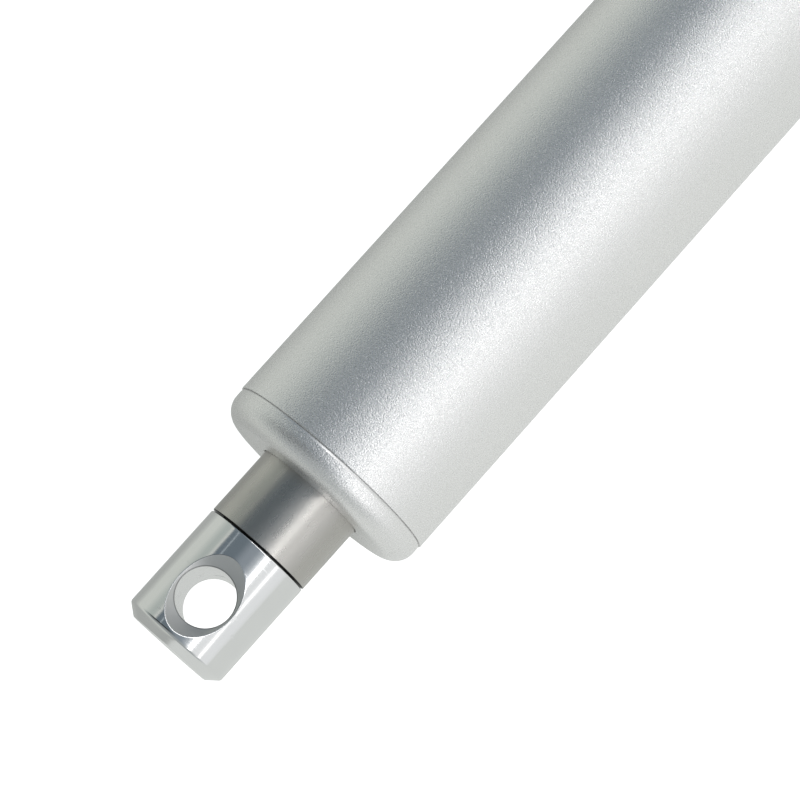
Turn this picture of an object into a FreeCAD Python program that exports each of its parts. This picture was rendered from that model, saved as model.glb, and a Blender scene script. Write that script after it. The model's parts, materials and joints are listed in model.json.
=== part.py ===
import FreeCAD, Part
import math
import os

from FreeCAD import Vector

# Pen-type linear actuator, rod retracted. The long axis is X and the rod leaves towards +X.
# Both eye holes run along Z, and the origin is the centre of the rear eye hole. Millimetres.

# Driving dimensions
TUBE_OD = 20.0
TUBE_BORE = 16.8
ROD_OD = 10.0
ROD_BORE = 8.0
STROKE = 50.0
EYE_HOLE = 5.1
MOTOR_OD = 15.0
MOTOR_LENGTH = 26.0
GEARBOX_OD = 16.4
GEAR_MODULE = 0.3
SUN_TEETH = 12
PLANET_TEETH = 15
PLANETS = 3
SCREW_OD = 6.0

# Fits as radial clearances, broken edges, and how near an edge must lie to be picked
SLIP = 0.02
RUN = 0.03
LOOSE = 0.1
EDGE = 0.12
CHAMFER = 0.3
NEAR = 0.01

# Caps and their seals
CAP_FLANGE = 2.65
CAP_ROUND = 2.1
CAP_STEP = 0.1
SEAT_DEPTH = 0.4
REAR_SEAT = 6.4
REAR_SPIGOT = 10.0
REAR_WALL = 3.25
FRONT_SPIGOT = 9.5
SEAL_GROOVE_WIDTH = 1.2
SEAL_GROOVE_DEPTH = 0.78
FRONT_SEAL_BACK = 5.5
REAR_SEAL_BACK = 3.2
CAVITY_OD = 14.0
LIP_THICK = 1.15
WIPER_LENGTH = 3.2
WIPER_OD = 13.2
WIPER_HEEL = 0.35
WIPER_MOUTH = 0.9
WIPER_SLOPE = 0.9
BUSH_OD = 14.0
BUSH_SETBACK = 0.5

# Rear eye and cable outlet
LUG_TO_CAP = 6.7
LUG_THICK = 5.5
LUG_SINK = 0.5
LUG_SINK_ANGLE = 90.0
LUG_FILLET = 0.5
GROMMET_Z = 5.45
GROMMET_OD = 3.3
GROMMET_FLANGE = 0.9
GROMMET_LIP = 0.45
CABLE_HOLE = 2.5
NOTCH_WIDTH = 4.4
NOTCH_TOP = -6.2

# Rod and rod end
ROD_REVEAL = 6.45
END_GAP = 0.15
ROD_EDGE = 0.05
EYE_LENGTH = 10.9
EYE_TO_TIP = 5.0
EYE_SINK = 7.6
EYE_SINK_ANGLE = 100.0
EYE_SPIGOT = 8.0
TIP_CHAMFER_LENGTH = 0.85
TIP_CHAMFER_DEPTH = 1.05

# Motor
CAN_WALL = 0.6
CAN_END = 0.8
CAN_BEND = 0.7
BOSS_LENGTH = 1.0
BOSS_OD = 5.8
FRONT_BUSH_OD = 4.0
REAR_BUSH_OD = 3.0
REAR_BUSH_INSET = 0.4
REAR_BUSH_LENGTH = 2.2
MOTOR_SHAFT = 1.5
MAGNET_THICK = 0.9
MAGNET_GAP = 5.2
MAGNET_OVERHANG = 0.8
BELL_THICK = 3.5
BELL_RECESS = 0.6
BELL_RIM = 0.8
BELL_HUB_OD = 5.2
TERMINAL_Y = 4.2
TERMINAL_REACH = 2.6
TERMINAL_THICK = 0.4
TERMINAL_WIDTH = 2.2
TERMINAL_HOLE = 0.8
TERMINAL_HOLE_INSET = 0.9
BRUSH_LENGTH = 1.8
BRUSH_WIDTH = 1.6
COMMUTATOR_OD = 4.2
COMMUTATOR_LENGTH = 2.0
COMMUTATOR_GAP = 0.2
COMMUTATOR_SLOT = 0.3
COMMUTATOR_SLOT_FLOOR = 1.3
POLES = 3
CORE_OD = 11.4
CORE_HUB_OD = 4.4
CORE_SHOE = 1.0
CORE_MOUTH = 1.4
CORE_STEM = 2.0
CORE_REAR_ROOM = 7.0
CORE_FRONT_ROOM = 3.0
COIL_WIDTH = 4.4
COIL_FLOOR = 2.45
COIL_OVERHANG = 1.1
COIL_ROUND = 0.8

# Gearbox: involute teeth with short addenda, thinned for backlash
PRESSURE_ANGLE = math.radians(25)
ADDENDUM = 0.8 * GEAR_MODULE
DEDENDUM = 1.05 * GEAR_MODULE
BACKLASH = 0.02
PLATE_THICK = 1.5
RING_LENGTH = 14.0
COVER_THICK = 2.0
PLANET_WIDTH = 4.0
PLANET_PIN = 1.5
CARRIER_THICK = 1.5
CARRIER_RIM = 1.65
STAGE_ROOM = 1.3
STAGE_GAP = 0.35
GEAR_OVERHANG = 0.1
SUN_BACK = 0.2
SCREW_PLACE = 4.5
SCREW_SHANK = 1.56
SCREW_CLEAR = 1.8
SCREW_TAP = 1.6
SCREW_HEAD_OD = 2.8
SCREW_HEAD_HEIGHT = 0.8
SCREW_SLOT_DEPTH = 0.35
SCREW_SLOT_WIDTH = 0.4
OUTPUT_OD = 4.0
OUTPUT_BUSH_OD = 6.0
OUTPUT_BUSH_LIP = 0.8
OUTPUT_BUSH_FLANGE = 0.5
WIRE_FLAT_Z = -7.4

# Coupling, bearing and screw
COUPLING_OD = 8.0
COUPLING_GAP = 0.5
COUPLING_CHAMFER = 0.4
COUPLING_PIN = 1.2
COUPLING_PIN_INSET = 1.9
PIN_SETBACK = 0.05
SHAFT_GAP = 0.3
BLOCK_LENGTH = 15.5
BLOCK_CAVITY_OD = 10.4
BLOCK_SHOULDER = 1.0
BLOCK_SHOULDER_BORE = 8.4
JOURNAL_OD = 5.0
BEARING_OD = 11.0
BEARING_WIDTH = 5.0
RACE_STEP = 0.7
BALLS = 7
BALL_OD = 1.8
CAGE_THICK = 0.8
CAGE_WIDTH = 2.2
CLIP_THICK = 0.5
BEARING_CLIP_GROOVE = 0.35
BEARING_CLIP_REACH = 1.0
BEARING_CLIP_GAP = 50
SCREW_CLIP_GROOVE = 0.3
SCREW_CLIP_OD = 7.4
SCREW_CLIP_GAP = 100
SNAP_THICK = 1.0
SNAP_GROOVE = 0.5
SNAP_REACH = 1.1
SNAP_GAP = 50
COLLAR_OD = 6.8
COLLAR_LENGTH = 1.5
TIP_BUSH = 3.0
TIP_BUSH_CLEAR = 0.05

# Nut and shoe
NUT_FLANGE = 3.0
NUT_FLANGE_OD = 14.0
NUT_HUB = 10.0
NUT_CLEAR = 0.05
STOP_ROOM = 1.0
SHOE_LENGTH = 8.0
KEY_WIDTH = 2.0
KEY_HEIGHT = 0.25
KEY_ROOT = 0.75
KEY_GROOVE_ROOT = 0.4
KEY_GROOVE_DEPTH = 0.35

# Switches on their board, under the rod
BOARD_Z = -8.0
BOARD_THICK = 0.8
BOARD_WIDTH = 5.0
BOARD_MARGIN = 0.5
BOARD_ROOM = 0.7
SWITCH_LENGTH = 4.5
SWITCH_WIDTH = 3.4
SWITCH_HEIGHT = 1.5
SWITCH_CHAMFER = 0.2
BUTTON_WIDTH = 1.6
BUTTON_HEIGHT = 0.9
BUTTON_RISE = 0.3
BUTTON_REACH = 0.8
BUTTON_INSIDE = 1.0
BUTTON_POCKET = 1.8
BUTTON_CLEAR = 0.05
SHOE_CLEAR = 0.2
TRIP_GAP = 0.1

# Leads from the board to the motor
LEAD_OD = 0.8
LEAD_Y = 0.6
LEAD_Z = -7.93
LEAD_BEND = 1.5
LEAD_END_Z = -1.4

# Radii
tube_r = TUBE_OD / 2
bore_r = TUBE_BORE / 2
seat_r = bore_r + SEAT_DEPTH
spigot_r = seat_r - SLIP
groove_r = spigot_r - SEAL_GROOVE_DEPTH
back_spigot_r = bore_r - RUN - SLIP
cap_r = tube_r - CAP_STEP
cavity_r = CAVITY_OD / 2
rod_r = ROD_OD / 2
rod_bore_r = ROD_BORE / 2
eye_hole_r = EYE_HOLE / 2
grommet_r = GROMMET_OD / 2
bush_pocket_r = BUSH_OD / 2
wiper_pocket_r = WIPER_OD / 2
can_r = MOTOR_OD / 2
can_bore_r = can_r - CAN_WALL
motor_shaft_r = MOTOR_SHAFT / 2
commutator_r = COMMUTATOR_OD / 2
core_r = CORE_OD / 2
gearbox_r = GEARBOX_OD / 2
planet_pin_r = PLANET_PIN / 2
output_r = OUTPUT_OD / 2
output_bush_r = OUTPUT_BUSH_OD / 2
coupling_r = COUPLING_OD / 2
journal_r = JOURNAL_OD / 2
bearing_r = BEARING_OD / 2
ball_r = BALL_OD / 2
ball_circle_r = (journal_r + bearing_r) / 2
screw_r = SCREW_OD / 2
collar_r = COLLAR_OD / 2
nut_flange_r = NUT_FLANGE_OD / 2
ring_teeth = SUN_TEETH + 2 * PLANET_TEETH
planet_circle_r = GEAR_MODULE * (SUN_TEETH + PLANET_TEETH) / 2

# Stations along the axis, from the rear eye forwards
tube_rear = LUG_TO_CAP + CAP_FLANGE
cavity_rear = LUG_TO_CAP + REAR_WALL
seat_front = tube_rear + REAR_SEAT
motor_rear = tube_rear + REAR_SPIGOT
bell_front = motor_rear + BELL_THICK
motor_front = motor_rear + MOTOR_LENGTH
core_rear = motor_rear + CORE_REAR_ROOM
core_front = motor_front - CORE_FRONT_ROOM
ring_rear = motor_front + PLATE_THICK
ring_front = ring_rear + RING_LENGTH
first_stage = ring_rear + STAGE_ROOM
first_carrier_rear = first_stage + PLANET_WIDTH + STAGE_GAP
first_carrier_front = first_carrier_rear + CARRIER_THICK
second_stage = first_carrier_front + STAGE_GAP
output_carrier_rear = second_stage + PLANET_WIDTH + STAGE_GAP
cover_front = ring_front + COVER_THICK
block_front = cover_front + BLOCK_LENGTH
bearing_front = block_front - 2 * CLIP_THICK
bearing_rear = bearing_front - BEARING_WIDTH
ball_x = (bearing_rear + bearing_front) / 2
coupling_rear = cover_front + COUPLING_GAP
coupling_front = bearing_rear - BLOCK_SHOULDER - COUPLING_GAP / 2
coupling_pin_places = (coupling_rear + COUPLING_PIN_INSET, coupling_front - COUPLING_PIN_INSET)
shaft_joint = (coupling_rear + coupling_front) / 2
snap_front = block_front + SNAP_THICK
board_rear = snap_front + BOARD_MARGIN
rear_switch_rear = board_rear + BOARD_MARGIN
rear_switch_front = rear_switch_rear + SWITCH_LENGTH
shoe_rear = rear_switch_front + BUTTON_REACH + TRIP_GAP
shoe_front = shoe_rear + SHOE_LENGTH
rod_rear = shoe_rear + NUT_FLANGE
front_switch_rear = shoe_front + STROKE + TRIP_GAP + BUTTON_REACH
front_switch_front = front_switch_rear + SWITCH_LENGTH
board_front = front_switch_front + BOARD_MARGIN
spigot_rear = board_front + BOARD_ROOM
tube_front = spigot_rear + FRONT_SPIGOT
cap_face = tube_front + CAP_FLANGE
lip_rear = cap_face - LIP_THICK
wiper_rear = lip_rear - WIPER_LENGTH
rod_front = cap_face + ROD_REVEAL
eye_rear = rod_front + END_GAP
tip = eye_rear + EYE_LENGTH
front_eye = tip - EYE_TO_TIP
screw_tip = rod_rear + NUT_HUB + STROKE + STOP_ROOM
board_top = BOARD_Z + BOARD_THICK


def turned(outline):
    """Turn (x, r) corners about the long axis; (xm, rm, x, r) is an arc through (xm, rm)."""
    edges = []
    start = outline[-1][-2:]
    for corner in outline:
        end = corner[-2:]
        first = Vector(start[0], 0, start[1])
        last = Vector(end[0], 0, end[1])
        if len(corner) == 4:
            middle = Vector(corner[0], 0, corner[1])
            edges.append(Part.Arc(first, middle, last).toShape())
        else:
            edges.append(Part.makeLine(first, last))
        start = end
    face = Part.Face(Part.Wire(edges))
    return face.revolve(Vector(0, 0, 0), Vector(1, 0, 0), 360)


def bar(x0, x1, radius, y=0.0, z=0.0):
    """Round bar parallel to the long axis."""
    return Part.makeCylinder(radius, x1 - x0, Vector(x0, y, z), Vector(1, 0, 0))


def upright(x, radius, z0, z1):
    """Round bar along Z."""
    return Part.makeCylinder(radius, z1 - z0, Vector(x, 0, z0), Vector(0, 0, 1))


def sleeve(x0, x1, outer, inner):
    """Plain ring about the long axis."""
    return bar(x0, x1, outer).cut(bar(x0, x1, inner))


def slab(x0, x1, y0, y1, z0, z1):
    """Box between two corners."""
    return Part.makeBox(x1 - x0, y1 - y0, z1 - z0, Vector(x0, y0, z0))


def spun(shape, angle):
    """Copy turned about the long axis, in degrees."""
    copy = shape.copy()
    copy.rotate(Vector(0, 0, 0), Vector(1, 0, 0), angle)
    return copy


def around(shape, count):
    """Copies evenly spaced about the long axis."""
    return [spun(shape, 360 * i / count) for i in range(count)]


def without(shape, cutters):
    """Shape with each cutter taken out of it."""
    for cutter in cutters:
        shape = shape.cut(cutter)
    return shape


def countersink(x, hole_r, depth, angle, surface_z, side):
    """Countersink of that depth and full angle below a surface, run out a little above it."""
    height = depth + CHAMFER
    spread = height * math.tan(math.radians(angle / 2))
    foot = Vector(x, 0, side * (surface_z - depth))
    return Part.makeCone(hole_r, hole_r + spread, height, foot, Vector(0, 0, side))


def flange(seam, face):
    """Outline of a cap's flange from the tube seam to its face, with the rounded outer edge."""
    out = 1 if face > seam else -1
    round_x = face - out * CAP_ROUND
    round_r = cap_r - CAP_ROUND
    swell = CAP_ROUND * math.sqrt(0.5)
    return [
        (seam, cap_r - EDGE),
        (seam + out * EDGE, cap_r),
        (round_x, cap_r),
        (round_x + out * swell, round_r + swell, face, round_r),
    ]


def seal_groove(x, step):
    """Outline of a seal ring's groove in a spigot, walked along +X or -X."""
    half = step * SEAL_GROOVE_WIDTH / 2
    return [(x - half, spigot_r), (x - half, groove_r), (x + half, groove_r), (x + half, spigot_r)]


def seal_ring(x):
    """Round-section ring that fills its groove up to the tube's seat."""
    section_r = (seat_r - groove_r) / 2
    return Part.makeTorus(groove_r + section_r, section_r - SLIP / 4, Vector(x, 0, 0), Vector(1, 0, 0))


def clip_ring(x, thick, inner, outer, gap):
    """Spring ring with an open gap of that angle at the bottom, in degrees."""
    reach = 2 * outer
    side = reach * math.tan(math.radians(gap / 2))
    corners = [Vector(x, 0, 0), Vector(x, side, -reach), Vector(x, -side, -reach), Vector(x, 0, 0)]
    wedge = Part.Face(Part.makePolygon(corners)).extrude(Vector(thick, 0, 0))
    return sleeve(x, x + thick, outer, inner).cut(wedge)


def with_wire_flat(shape):
    """Mill a flat on the bottom of an inner piece, where the leads pass."""
    box = shape.BoundBox
    return shape.cut(slab(box.XMin, box.XMax, -tube_r, tube_r, -tube_r, WIRE_FLAT_Z))


def involute(angle):
    """Involute function of an angle in radians."""
    return math.tan(angle) - angle


def toothed(teeth, root_r, tip_r, grow, x0, x1):
    """Gear blank whose flanks pass through three involute points; the first tooth points along +Y."""
    pitch_r = GEAR_MODULE * teeth / 2
    base_r = pitch_r * math.cos(PRESSURE_ANGLE)
    half = math.pi / (2 * teeth) + grow / pitch_r + involute(PRESSURE_ANGLE)
    flank = []
    for radius in (root_r, pitch_r, tip_r):
        lean = math.acos(min(1.0, base_r / radius))
        flank.append((radius, half - involute(lean)))
    tooth = [(r, -a) for r, a in flank] + [(r, a) for r, a in reversed(flank)]
    corners = []
    for i in range(teeth):
        centre = 2 * math.pi * i / teeth
        for r, a in tooth:
            corners.append(Vector(x0, r * math.cos(centre + a), r * math.sin(centre + a)))
    corners.append(corners[0])
    return Part.Face(Part.makePolygon(corners)).extrude(Vector(x1 - x0, 0, 0))


def gear(teeth, x0, x1, hole_r):
    """Spur gear on the axis, with a plain hole."""
    pitch_r = GEAR_MODULE * teeth / 2
    blank = toothed(teeth, pitch_r - DEDENDUM, pitch_r + ADDENDUM, -BACKLASH, x0, x1)
    return blank.cut(bar(x0, x1, hole_r))


def outer_tube():
    """Drawn tube with a seat at each end, two key grooves and the snap ring's groove."""
    tube = turned([
        (tube_rear, seat_r),
        (tube_rear, tube_r - EDGE),
        (tube_rear + EDGE, tube_r),
        (tube_front - EDGE, tube_r),
        (tube_front, tube_r - EDGE),
        (tube_front, seat_r),
        (spigot_rear, seat_r),
        (spigot_rear, bore_r),
        (snap_front, bore_r),
        (snap_front, bore_r + SNAP_GROOVE),
        (block_front, bore_r + SNAP_GROOVE),
        (block_front, bore_r),
        (seat_front, bore_r),
        (seat_front, seat_r),
    ])
    half = KEY_WIDTH / 2 + LOOSE
    floor = bore_r + KEY_GROOVE_DEPTH
    groove = slab(tube_rear, tube_front, bore_r - KEY_GROOVE_ROOT, floor, -half, half)
    return without(tube, around(groove, 2))


def front_cap():
    """Flanged cap with a spigot, pockets for the wiper and the guide bush, and the rod's hole."""
    hole_r = rod_r + LOOSE
    return turned(
        [(spigot_rear, bush_pocket_r), (spigot_rear, spigot_r - CHAMFER), (spigot_rear + CHAMFER, spigot_r)]
        + seal_groove(tube_front - FRONT_SEAL_BACK, 1)
        + [(tube_front, spigot_r)]
        + flange(tube_front, cap_face)
        + [
            (cap_face, hole_r + EDGE),
            (cap_face - EDGE, hole_r),
            (lip_rear, hole_r),
            (lip_rear, wiper_pocket_r),
            (wiper_rear, wiper_pocket_r),
            (wiper_rear, bush_pocket_r),
        ]
    )


def front_seal_ring():
    """Seal between the front cap and the tube."""
    return seal_ring(tube_front - FRONT_SEAL_BACK)


def guide_bush():
    """Plain bearing that guides the rod, with chamfered mouths."""
    rear = spigot_rear + BUSH_SETBACK
    inner = rod_r + RUN
    outer = bush_pocket_r - SLIP
    return turned([
        (rear, inner + CHAMFER),
        (rear, outer - CHAMFER),
        (rear + CHAMFER, outer),
        (wiper_rear, outer),
        (wiper_rear, inner + CHAMFER),
        (wiper_rear - CHAMFER, inner),
        (rear + CHAMFER, inner),
    ])


def rod_wiper():
    """Soft ring with a thin lip that leans forward onto the rod."""
    outer = wiper_pocket_r - SLIP
    lip_r = rod_r + RUN
    heel_r = rod_r + WIPER_HEEL
    mouth_r = rod_r + WIPER_MOUTH
    lip_x = lip_rear - LOOSE
    return turned([
        (wiper_rear, outer),
        (lip_rear, outer),
        (lip_rear, mouth_r),
        (lip_rear - WIPER_SLOPE, mouth_r - CHAMFER),
        (lip_x, lip_r + EDGE),
        (lip_x, lip_r),
        (lip_x - 3 * EDGE, lip_r),
        (wiper_rear + WIPER_LENGTH / 4, heel_r),
        (wiper_rear, heel_r),
    ])


def on_lug_root(edge):
    """True on the edges where the rear eye meets the cap's face."""
    box = edge.BoundBox
    on_face = abs(box.XMin - LUG_TO_CAP) < NEAR and abs(box.XMax - LUG_TO_CAP) < NEAR
    return on_face and max(abs(box.YMin), abs(box.YMax)) < rod_r + NEAR


def rear_cap():
    """Cap with the rear eye, a spigot that backs the motor, a lead notch and the cable's hole."""
    cap = turned(
        [
            (cavity_rear, 0.0),
            (cavity_rear, cavity_r),
            (motor_rear, cavity_r),
            (motor_rear, back_spigot_r),
            (seat_front, back_spigot_r),
            (seat_front, spigot_r),
        ]
        + seal_groove(tube_rear + REAR_SEAL_BACK, -1)
        + [(tube_rear, spigot_r)]
        + flange(tube_rear, LUG_TO_CAP)
        + [(LUG_TO_CAP, 0.0)]
    )
    half = LUG_THICK / 2
    plan = upright(0, rod_r, -half, half).fuse(slab(0, tube_rear, -rod_r, rod_r, -half, half))
    lug = bar(-rod_r, tube_rear, rod_r).common(plan)
    cap = cap.fuse(lug).removeSplitter()
    cap = cap.makeFillet(LUG_FILLET, [e for e in cap.Edges if on_lug_root(e)])
    return without(cap, [
        upright(0, eye_hole_r, -half, half),
        countersink(0, eye_hole_r, LUG_SINK, LUG_SINK_ANGLE, half, 1),
        countersink(0, eye_hole_r, LUG_SINK, LUG_SINK_ANGLE, half, -1),
        bar(LUG_TO_CAP, cavity_rear + 2 * CHAMFER, grommet_r, 0, GROMMET_Z),
        slab(seat_front, motor_rear, -NOTCH_WIDTH / 2, NOTCH_WIDTH / 2, -tube_r, NOTCH_TOP),
    ])


def rear_seal_ring():
    """Seal between the rear cap and the tube."""
    return seal_ring(tube_rear + REAR_SEAL_BACK)


def cable_grommet():
    """Soft bush in the cable's hole, with a flange on the cap's face."""
    hole_r = CABLE_HOLE / 2
    flange_r = grommet_r + GROMMET_LIP
    body_r = grommet_r - SLIP
    face = LUG_TO_CAP - GROMMET_FLANGE
    grommet = turned([
        (face, hole_r + CHAMFER),
        (face, flange_r - CHAMFER),
        (face + CHAMFER, flange_r),
        (LUG_TO_CAP, flange_r),
        (LUG_TO_CAP, body_r),
        (cavity_rear + CHAMFER, body_r),
        (cavity_rear + CHAMFER, hole_r),
        (face + CHAMFER, hole_r),
    ])
    grommet.translate(Vector(0, 0, GROMMET_Z))
    return grommet


def screw_places(x0, x1, radius):
    """Round bars at the two gearbox screws."""
    return around(bar(x0, x1, radius, SCREW_PLACE), 2)


def motor_can():
    """Drawn steel cup with a bearing boss and two screw holes in its closed end."""
    swell = CAN_BEND * math.sqrt(0.5)
    bend_x = motor_front - CAN_BEND
    bend_r = can_r - CAN_BEND
    boss_front = motor_front + BOSS_LENGTH
    can = turned([
        (motor_rear, can_bore_r),
        (motor_rear, can_r),
        (bend_x, can_r),
        (bend_x + swell, bend_r + swell, motor_front, bend_r),
        (motor_front, BOSS_OD / 2),
        (boss_front, BOSS_OD / 2),
        (boss_front, FRONT_BUSH_OD / 2),
        (motor_front - CAN_END, FRONT_BUSH_OD / 2),
        (motor_front - CAN_END, can_bore_r),
    ])
    return without(can, screw_places(motor_front - CAN_END, motor_front, SCREW_TAP / 2))


def motor_magnets():
    """Two curved magnets against the can's wall."""
    outer = can_bore_r - SLIP
    rear = core_rear - MAGNET_OVERHANG
    front = core_front + MAGNET_OVERHANG
    half = MAGNET_GAP / 2
    ring = sleeve(rear, front, outer, outer - MAGNET_THICK)
    return ring.cut(slab(rear, front, -half, half, -can_r, can_r))


def terminal_tabs(grow):
    """The two terminal tabs, grown all round by a little for their slots."""
    half_thick = TERMINAL_THICK / 2 + grow
    half_width = TERMINAL_WIDTH / 2 + grow
    rear = motor_rear - TERMINAL_REACH
    tab = slab(rear, bell_front, TERMINAL_Y - half_thick, TERMINAL_Y + half_thick, -half_width, half_width)
    return around(tab, 2)


def motor_end_bell():
    """Moulded plug in the can's open end, with slots for the terminals and the rear bush's hole."""
    plug = sleeve(motor_rear, bell_front, can_bore_r - SLIP, REAR_BUSH_OD / 2 + SLIP)
    recess = sleeve(motor_rear, motor_rear + BELL_RECESS, can_bore_r - BELL_RIM, BELL_HUB_OD / 2)
    return without(plug, [recess] + terminal_tabs(SLIP))


def motor_terminals():
    """Two flat tabs that stand out of the end bell, each with a wire hole."""
    place = Vector(motor_rear - TERMINAL_REACH + TERMINAL_HOLE_INSET, -can_r, 0)
    hole = Part.makeCylinder(TERMINAL_HOLE / 2, 2 * can_r, place, Vector(0, 1, 0))
    return Part.makeCompound([tab.cut(hole) for tab in terminal_tabs(0)])


def motor_bushes():
    """Sintered bushes that carry the motor shaft."""
    inner = motor_shaft_r + RUN
    rear_x = motor_rear + REAR_BUSH_INSET
    rear = sleeve(rear_x, rear_x + REAR_BUSH_LENGTH, REAR_BUSH_OD / 2, inner)
    front = sleeve(motor_front - CAN_END, motor_front + BOSS_LENGTH, FRONT_BUSH_OD / 2 - SLIP, inner)
    return Part.makeCompound([rear, front])


def motor_brushes():
    """Two carbon blocks against the commutator, backed by the end bell."""
    half = BRUSH_WIDTH / 2
    front = bell_front + BRUSH_LENGTH
    block = slab(bell_front, front, 0, TERMINAL_Y - TERMINAL_THICK / 2, -half, half)
    block = block.cut(bar(bell_front, front, commutator_r + RUN))
    return Part.makeCompound(around(block, 2))


def commutator():
    """Copper segments on the shaft, parted by narrow slots."""
    rear = bell_front + COMMUTATOR_GAP
    front = rear + COMMUTATOR_LENGTH
    half = COMMUTATOR_SLOT / 2
    slot = slab(rear, front, COMMUTATOR_SLOT_FLOOR, COMMUTATOR_OD, -half, half)
    return without(sleeve(rear, front, commutator_r, motor_shaft_r + SLIP), around(slot, POLES))


def motor_shaft():
    """Motor shaft, from the rear bush to the first sun gear."""
    return bar(motor_rear + REAR_BUSH_INSET / 2, first_stage + PLANET_WIDTH + GEAR_OVERHANG, motor_shaft_r)


def armature_core():
    """Laminated core with T-shaped poles."""
    hub = sleeve(core_rear, core_front, CORE_HUB_OD / 2, motor_shaft_r + SLIP)
    rim = sleeve(core_rear, core_front, core_r, core_r - CORE_SHOE)
    mouth = slab(core_rear, core_front, 0, CORE_OD, -CORE_MOUTH / 2, CORE_MOUTH / 2)
    half_pitch = 180 / POLES
    rim = without(rim, [spun(gap, half_pitch) for gap in around(mouth, POLES)])
    stem_foot = CORE_HUB_OD / 2 - CHAMFER
    stem = slab(core_rear, core_front, stem_foot, core_r - CORE_SHOE / 2, -CORE_STEM / 2, CORE_STEM / 2)
    return hub.multiFuse([rim] + around(stem, POLES)).removeSplitter()


def armature_windings():
    """One copper coil round each pole's stem, with rounded end turns."""
    half = COIL_WIDTH / 2
    outer = math.sqrt((core_r - CORE_SHOE - SLIP) ** 2 - half ** 2)
    inside = CORE_STEM / 2 + SLIP
    coil = slab(core_rear - COIL_OVERHANG, core_front + COIL_OVERHANG, COIL_FLOOR, outer, -half, half)
    coil = coil.cut(slab(core_rear - SLIP, core_front + SLIP, 0, core_r, -inside, inside))
    corners = [e for e in coil.Edges if e.Length < COIL_WIDTH / 2 and abs(e.BoundBox.ZMin) > half - NEAR]
    coil = coil.makeFillet(COIL_ROUND, corners)
    return Part.makeCompound(around(coil, POLES))


def gearbox_plate():
    """Plate between the motor and the gear ring."""
    plate = sleeve(motor_front, ring_rear, gearbox_r, BOSS_OD / 2 + SLIP)
    return with_wire_flat(without(plate, screw_places(motor_front, ring_rear, SCREW_CLEAR / 2)))


def gearbox_screws():
    """Two slotted pan-head screws that hold the plate to the motor."""
    top = ring_rear + SCREW_HEAD_HEIGHT
    shank = bar(motor_front - CAN_END, ring_rear, SCREW_SHANK / 2, SCREW_PLACE)
    head = bar(ring_rear, top, SCREW_HEAD_OD / 2, SCREW_PLACE)
    near = SCREW_PLACE - SCREW_HEAD_OD
    far = SCREW_PLACE + SCREW_HEAD_OD
    half = SCREW_SLOT_WIDTH / 2
    slot = slab(top - SCREW_SLOT_DEPTH, top, near, far, -half, half)
    return Part.makeCompound(around(shank.fuse(head).cut(slot), 2))


def gear_ring():
    """Gearbox body with internal teeth for both stages; a tooth gap points along +Y."""
    pitch_r = GEAR_MODULE * ring_teeth / 2
    teeth = toothed(ring_teeth, pitch_r - ADDENDUM, pitch_r + DEDENDUM, BACKLASH, ring_rear, ring_front)
    return with_wire_flat(bar(ring_rear, ring_front, gearbox_r).cut(teeth))


def first_sun_gear():
    """Pinion on the motor shaft."""
    front = first_stage + PLANET_WIDTH + GEAR_OVERHANG
    return gear(SUN_TEETH, first_stage - SUN_BACK, front, motor_shaft_r + SLIP)


def second_sun_gear():
    """Pinion on the first carrier's spindle."""
    front = second_stage + PLANET_WIDTH + GEAR_OVERHANG
    return gear(SUN_TEETH, first_carrier_front, front, planet_pin_r + SLIP)


def planet(stage, number):
    """One planet gear of a stage, on its pin."""
    wheel = gear(PLANET_TEETH, stage, stage + PLANET_WIDTH, planet_pin_r + RUN)
    wheel.translate(Vector(0, planet_circle_r, 0))
    return spun(wheel, 360 * number / PLANETS)


def carrier(rear, stage):
    """Carrier disc with one pin for each planet of its stage."""
    disc = bar(rear, rear + CARRIER_THICK, planet_circle_r + CARRIER_RIM)
    pin = bar(stage - GEAR_OVERHANG, rear, planet_pin_r, planet_circle_r)
    return disc.multiFuse(around(pin, PLANETS))


def first_carrier():
    """Carrier of the first stage, with the spindle that the second sun gear sits on."""
    spindle = bar(first_carrier_front, second_stage + PLANET_WIDTH + GEAR_OVERHANG, planet_pin_r)
    return carrier(first_carrier_rear, first_stage).fuse(spindle).removeSplitter()


def output_carrier():
    """Carrier of the second stage, with the gearbox's output shaft."""
    shaft = bar(output_carrier_rear, shaft_joint - SHAFT_GAP / 2, output_r)
    body = carrier(output_carrier_rear, second_stage).fuse(shaft).removeSplitter()
    return body.cut(coupling_pin(coupling_pin_places[0], SLIP))


def gearbox_cover():
    """Front plate of the gearbox."""
    return with_wire_flat(sleeve(ring_front, cover_front, gearbox_r, output_bush_r))


def output_bush():
    """Flanged bush of the output shaft."""
    inner = output_r + RUN
    outer = output_bush_r - SLIP
    lip = outer + OUTPUT_BUSH_LIP
    rear = ring_front - OUTPUT_BUSH_FLANGE
    return turned([
        (rear, inner),
        (rear, lip),
        (ring_front, lip),
        (ring_front, outer),
        (cover_front, outer),
        (cover_front, inner),
    ])


def coupling_pin(x, grow):
    """Cross pin of the coupling, along Z."""
    return upright(x, COUPLING_PIN / 2 + grow, -coupling_r, coupling_r)


def shaft_coupling():
    """Sleeve that joins the output shaft to the screw."""
    inner = output_r + SLIP
    rim = coupling_r - COUPLING_CHAMFER
    body = turned([
        (coupling_rear, inner),
        (coupling_rear, rim),
        (coupling_rear + COUPLING_CHAMFER, coupling_r),
        (coupling_front - COUPLING_CHAMFER, coupling_r),
        (coupling_front, rim),
        (coupling_front, inner),
    ])
    return without(body, [coupling_pin(x, SLIP) for x in coupling_pin_places])


def coupling_pins():
    """The two cross pins, ground off just under the sleeve's surface."""
    limit = bar(coupling_rear, coupling_front, coupling_r - PIN_SETBACK)
    return Part.makeCompound([coupling_pin(x, 0).common(limit) for x in coupling_pin_places])


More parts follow.
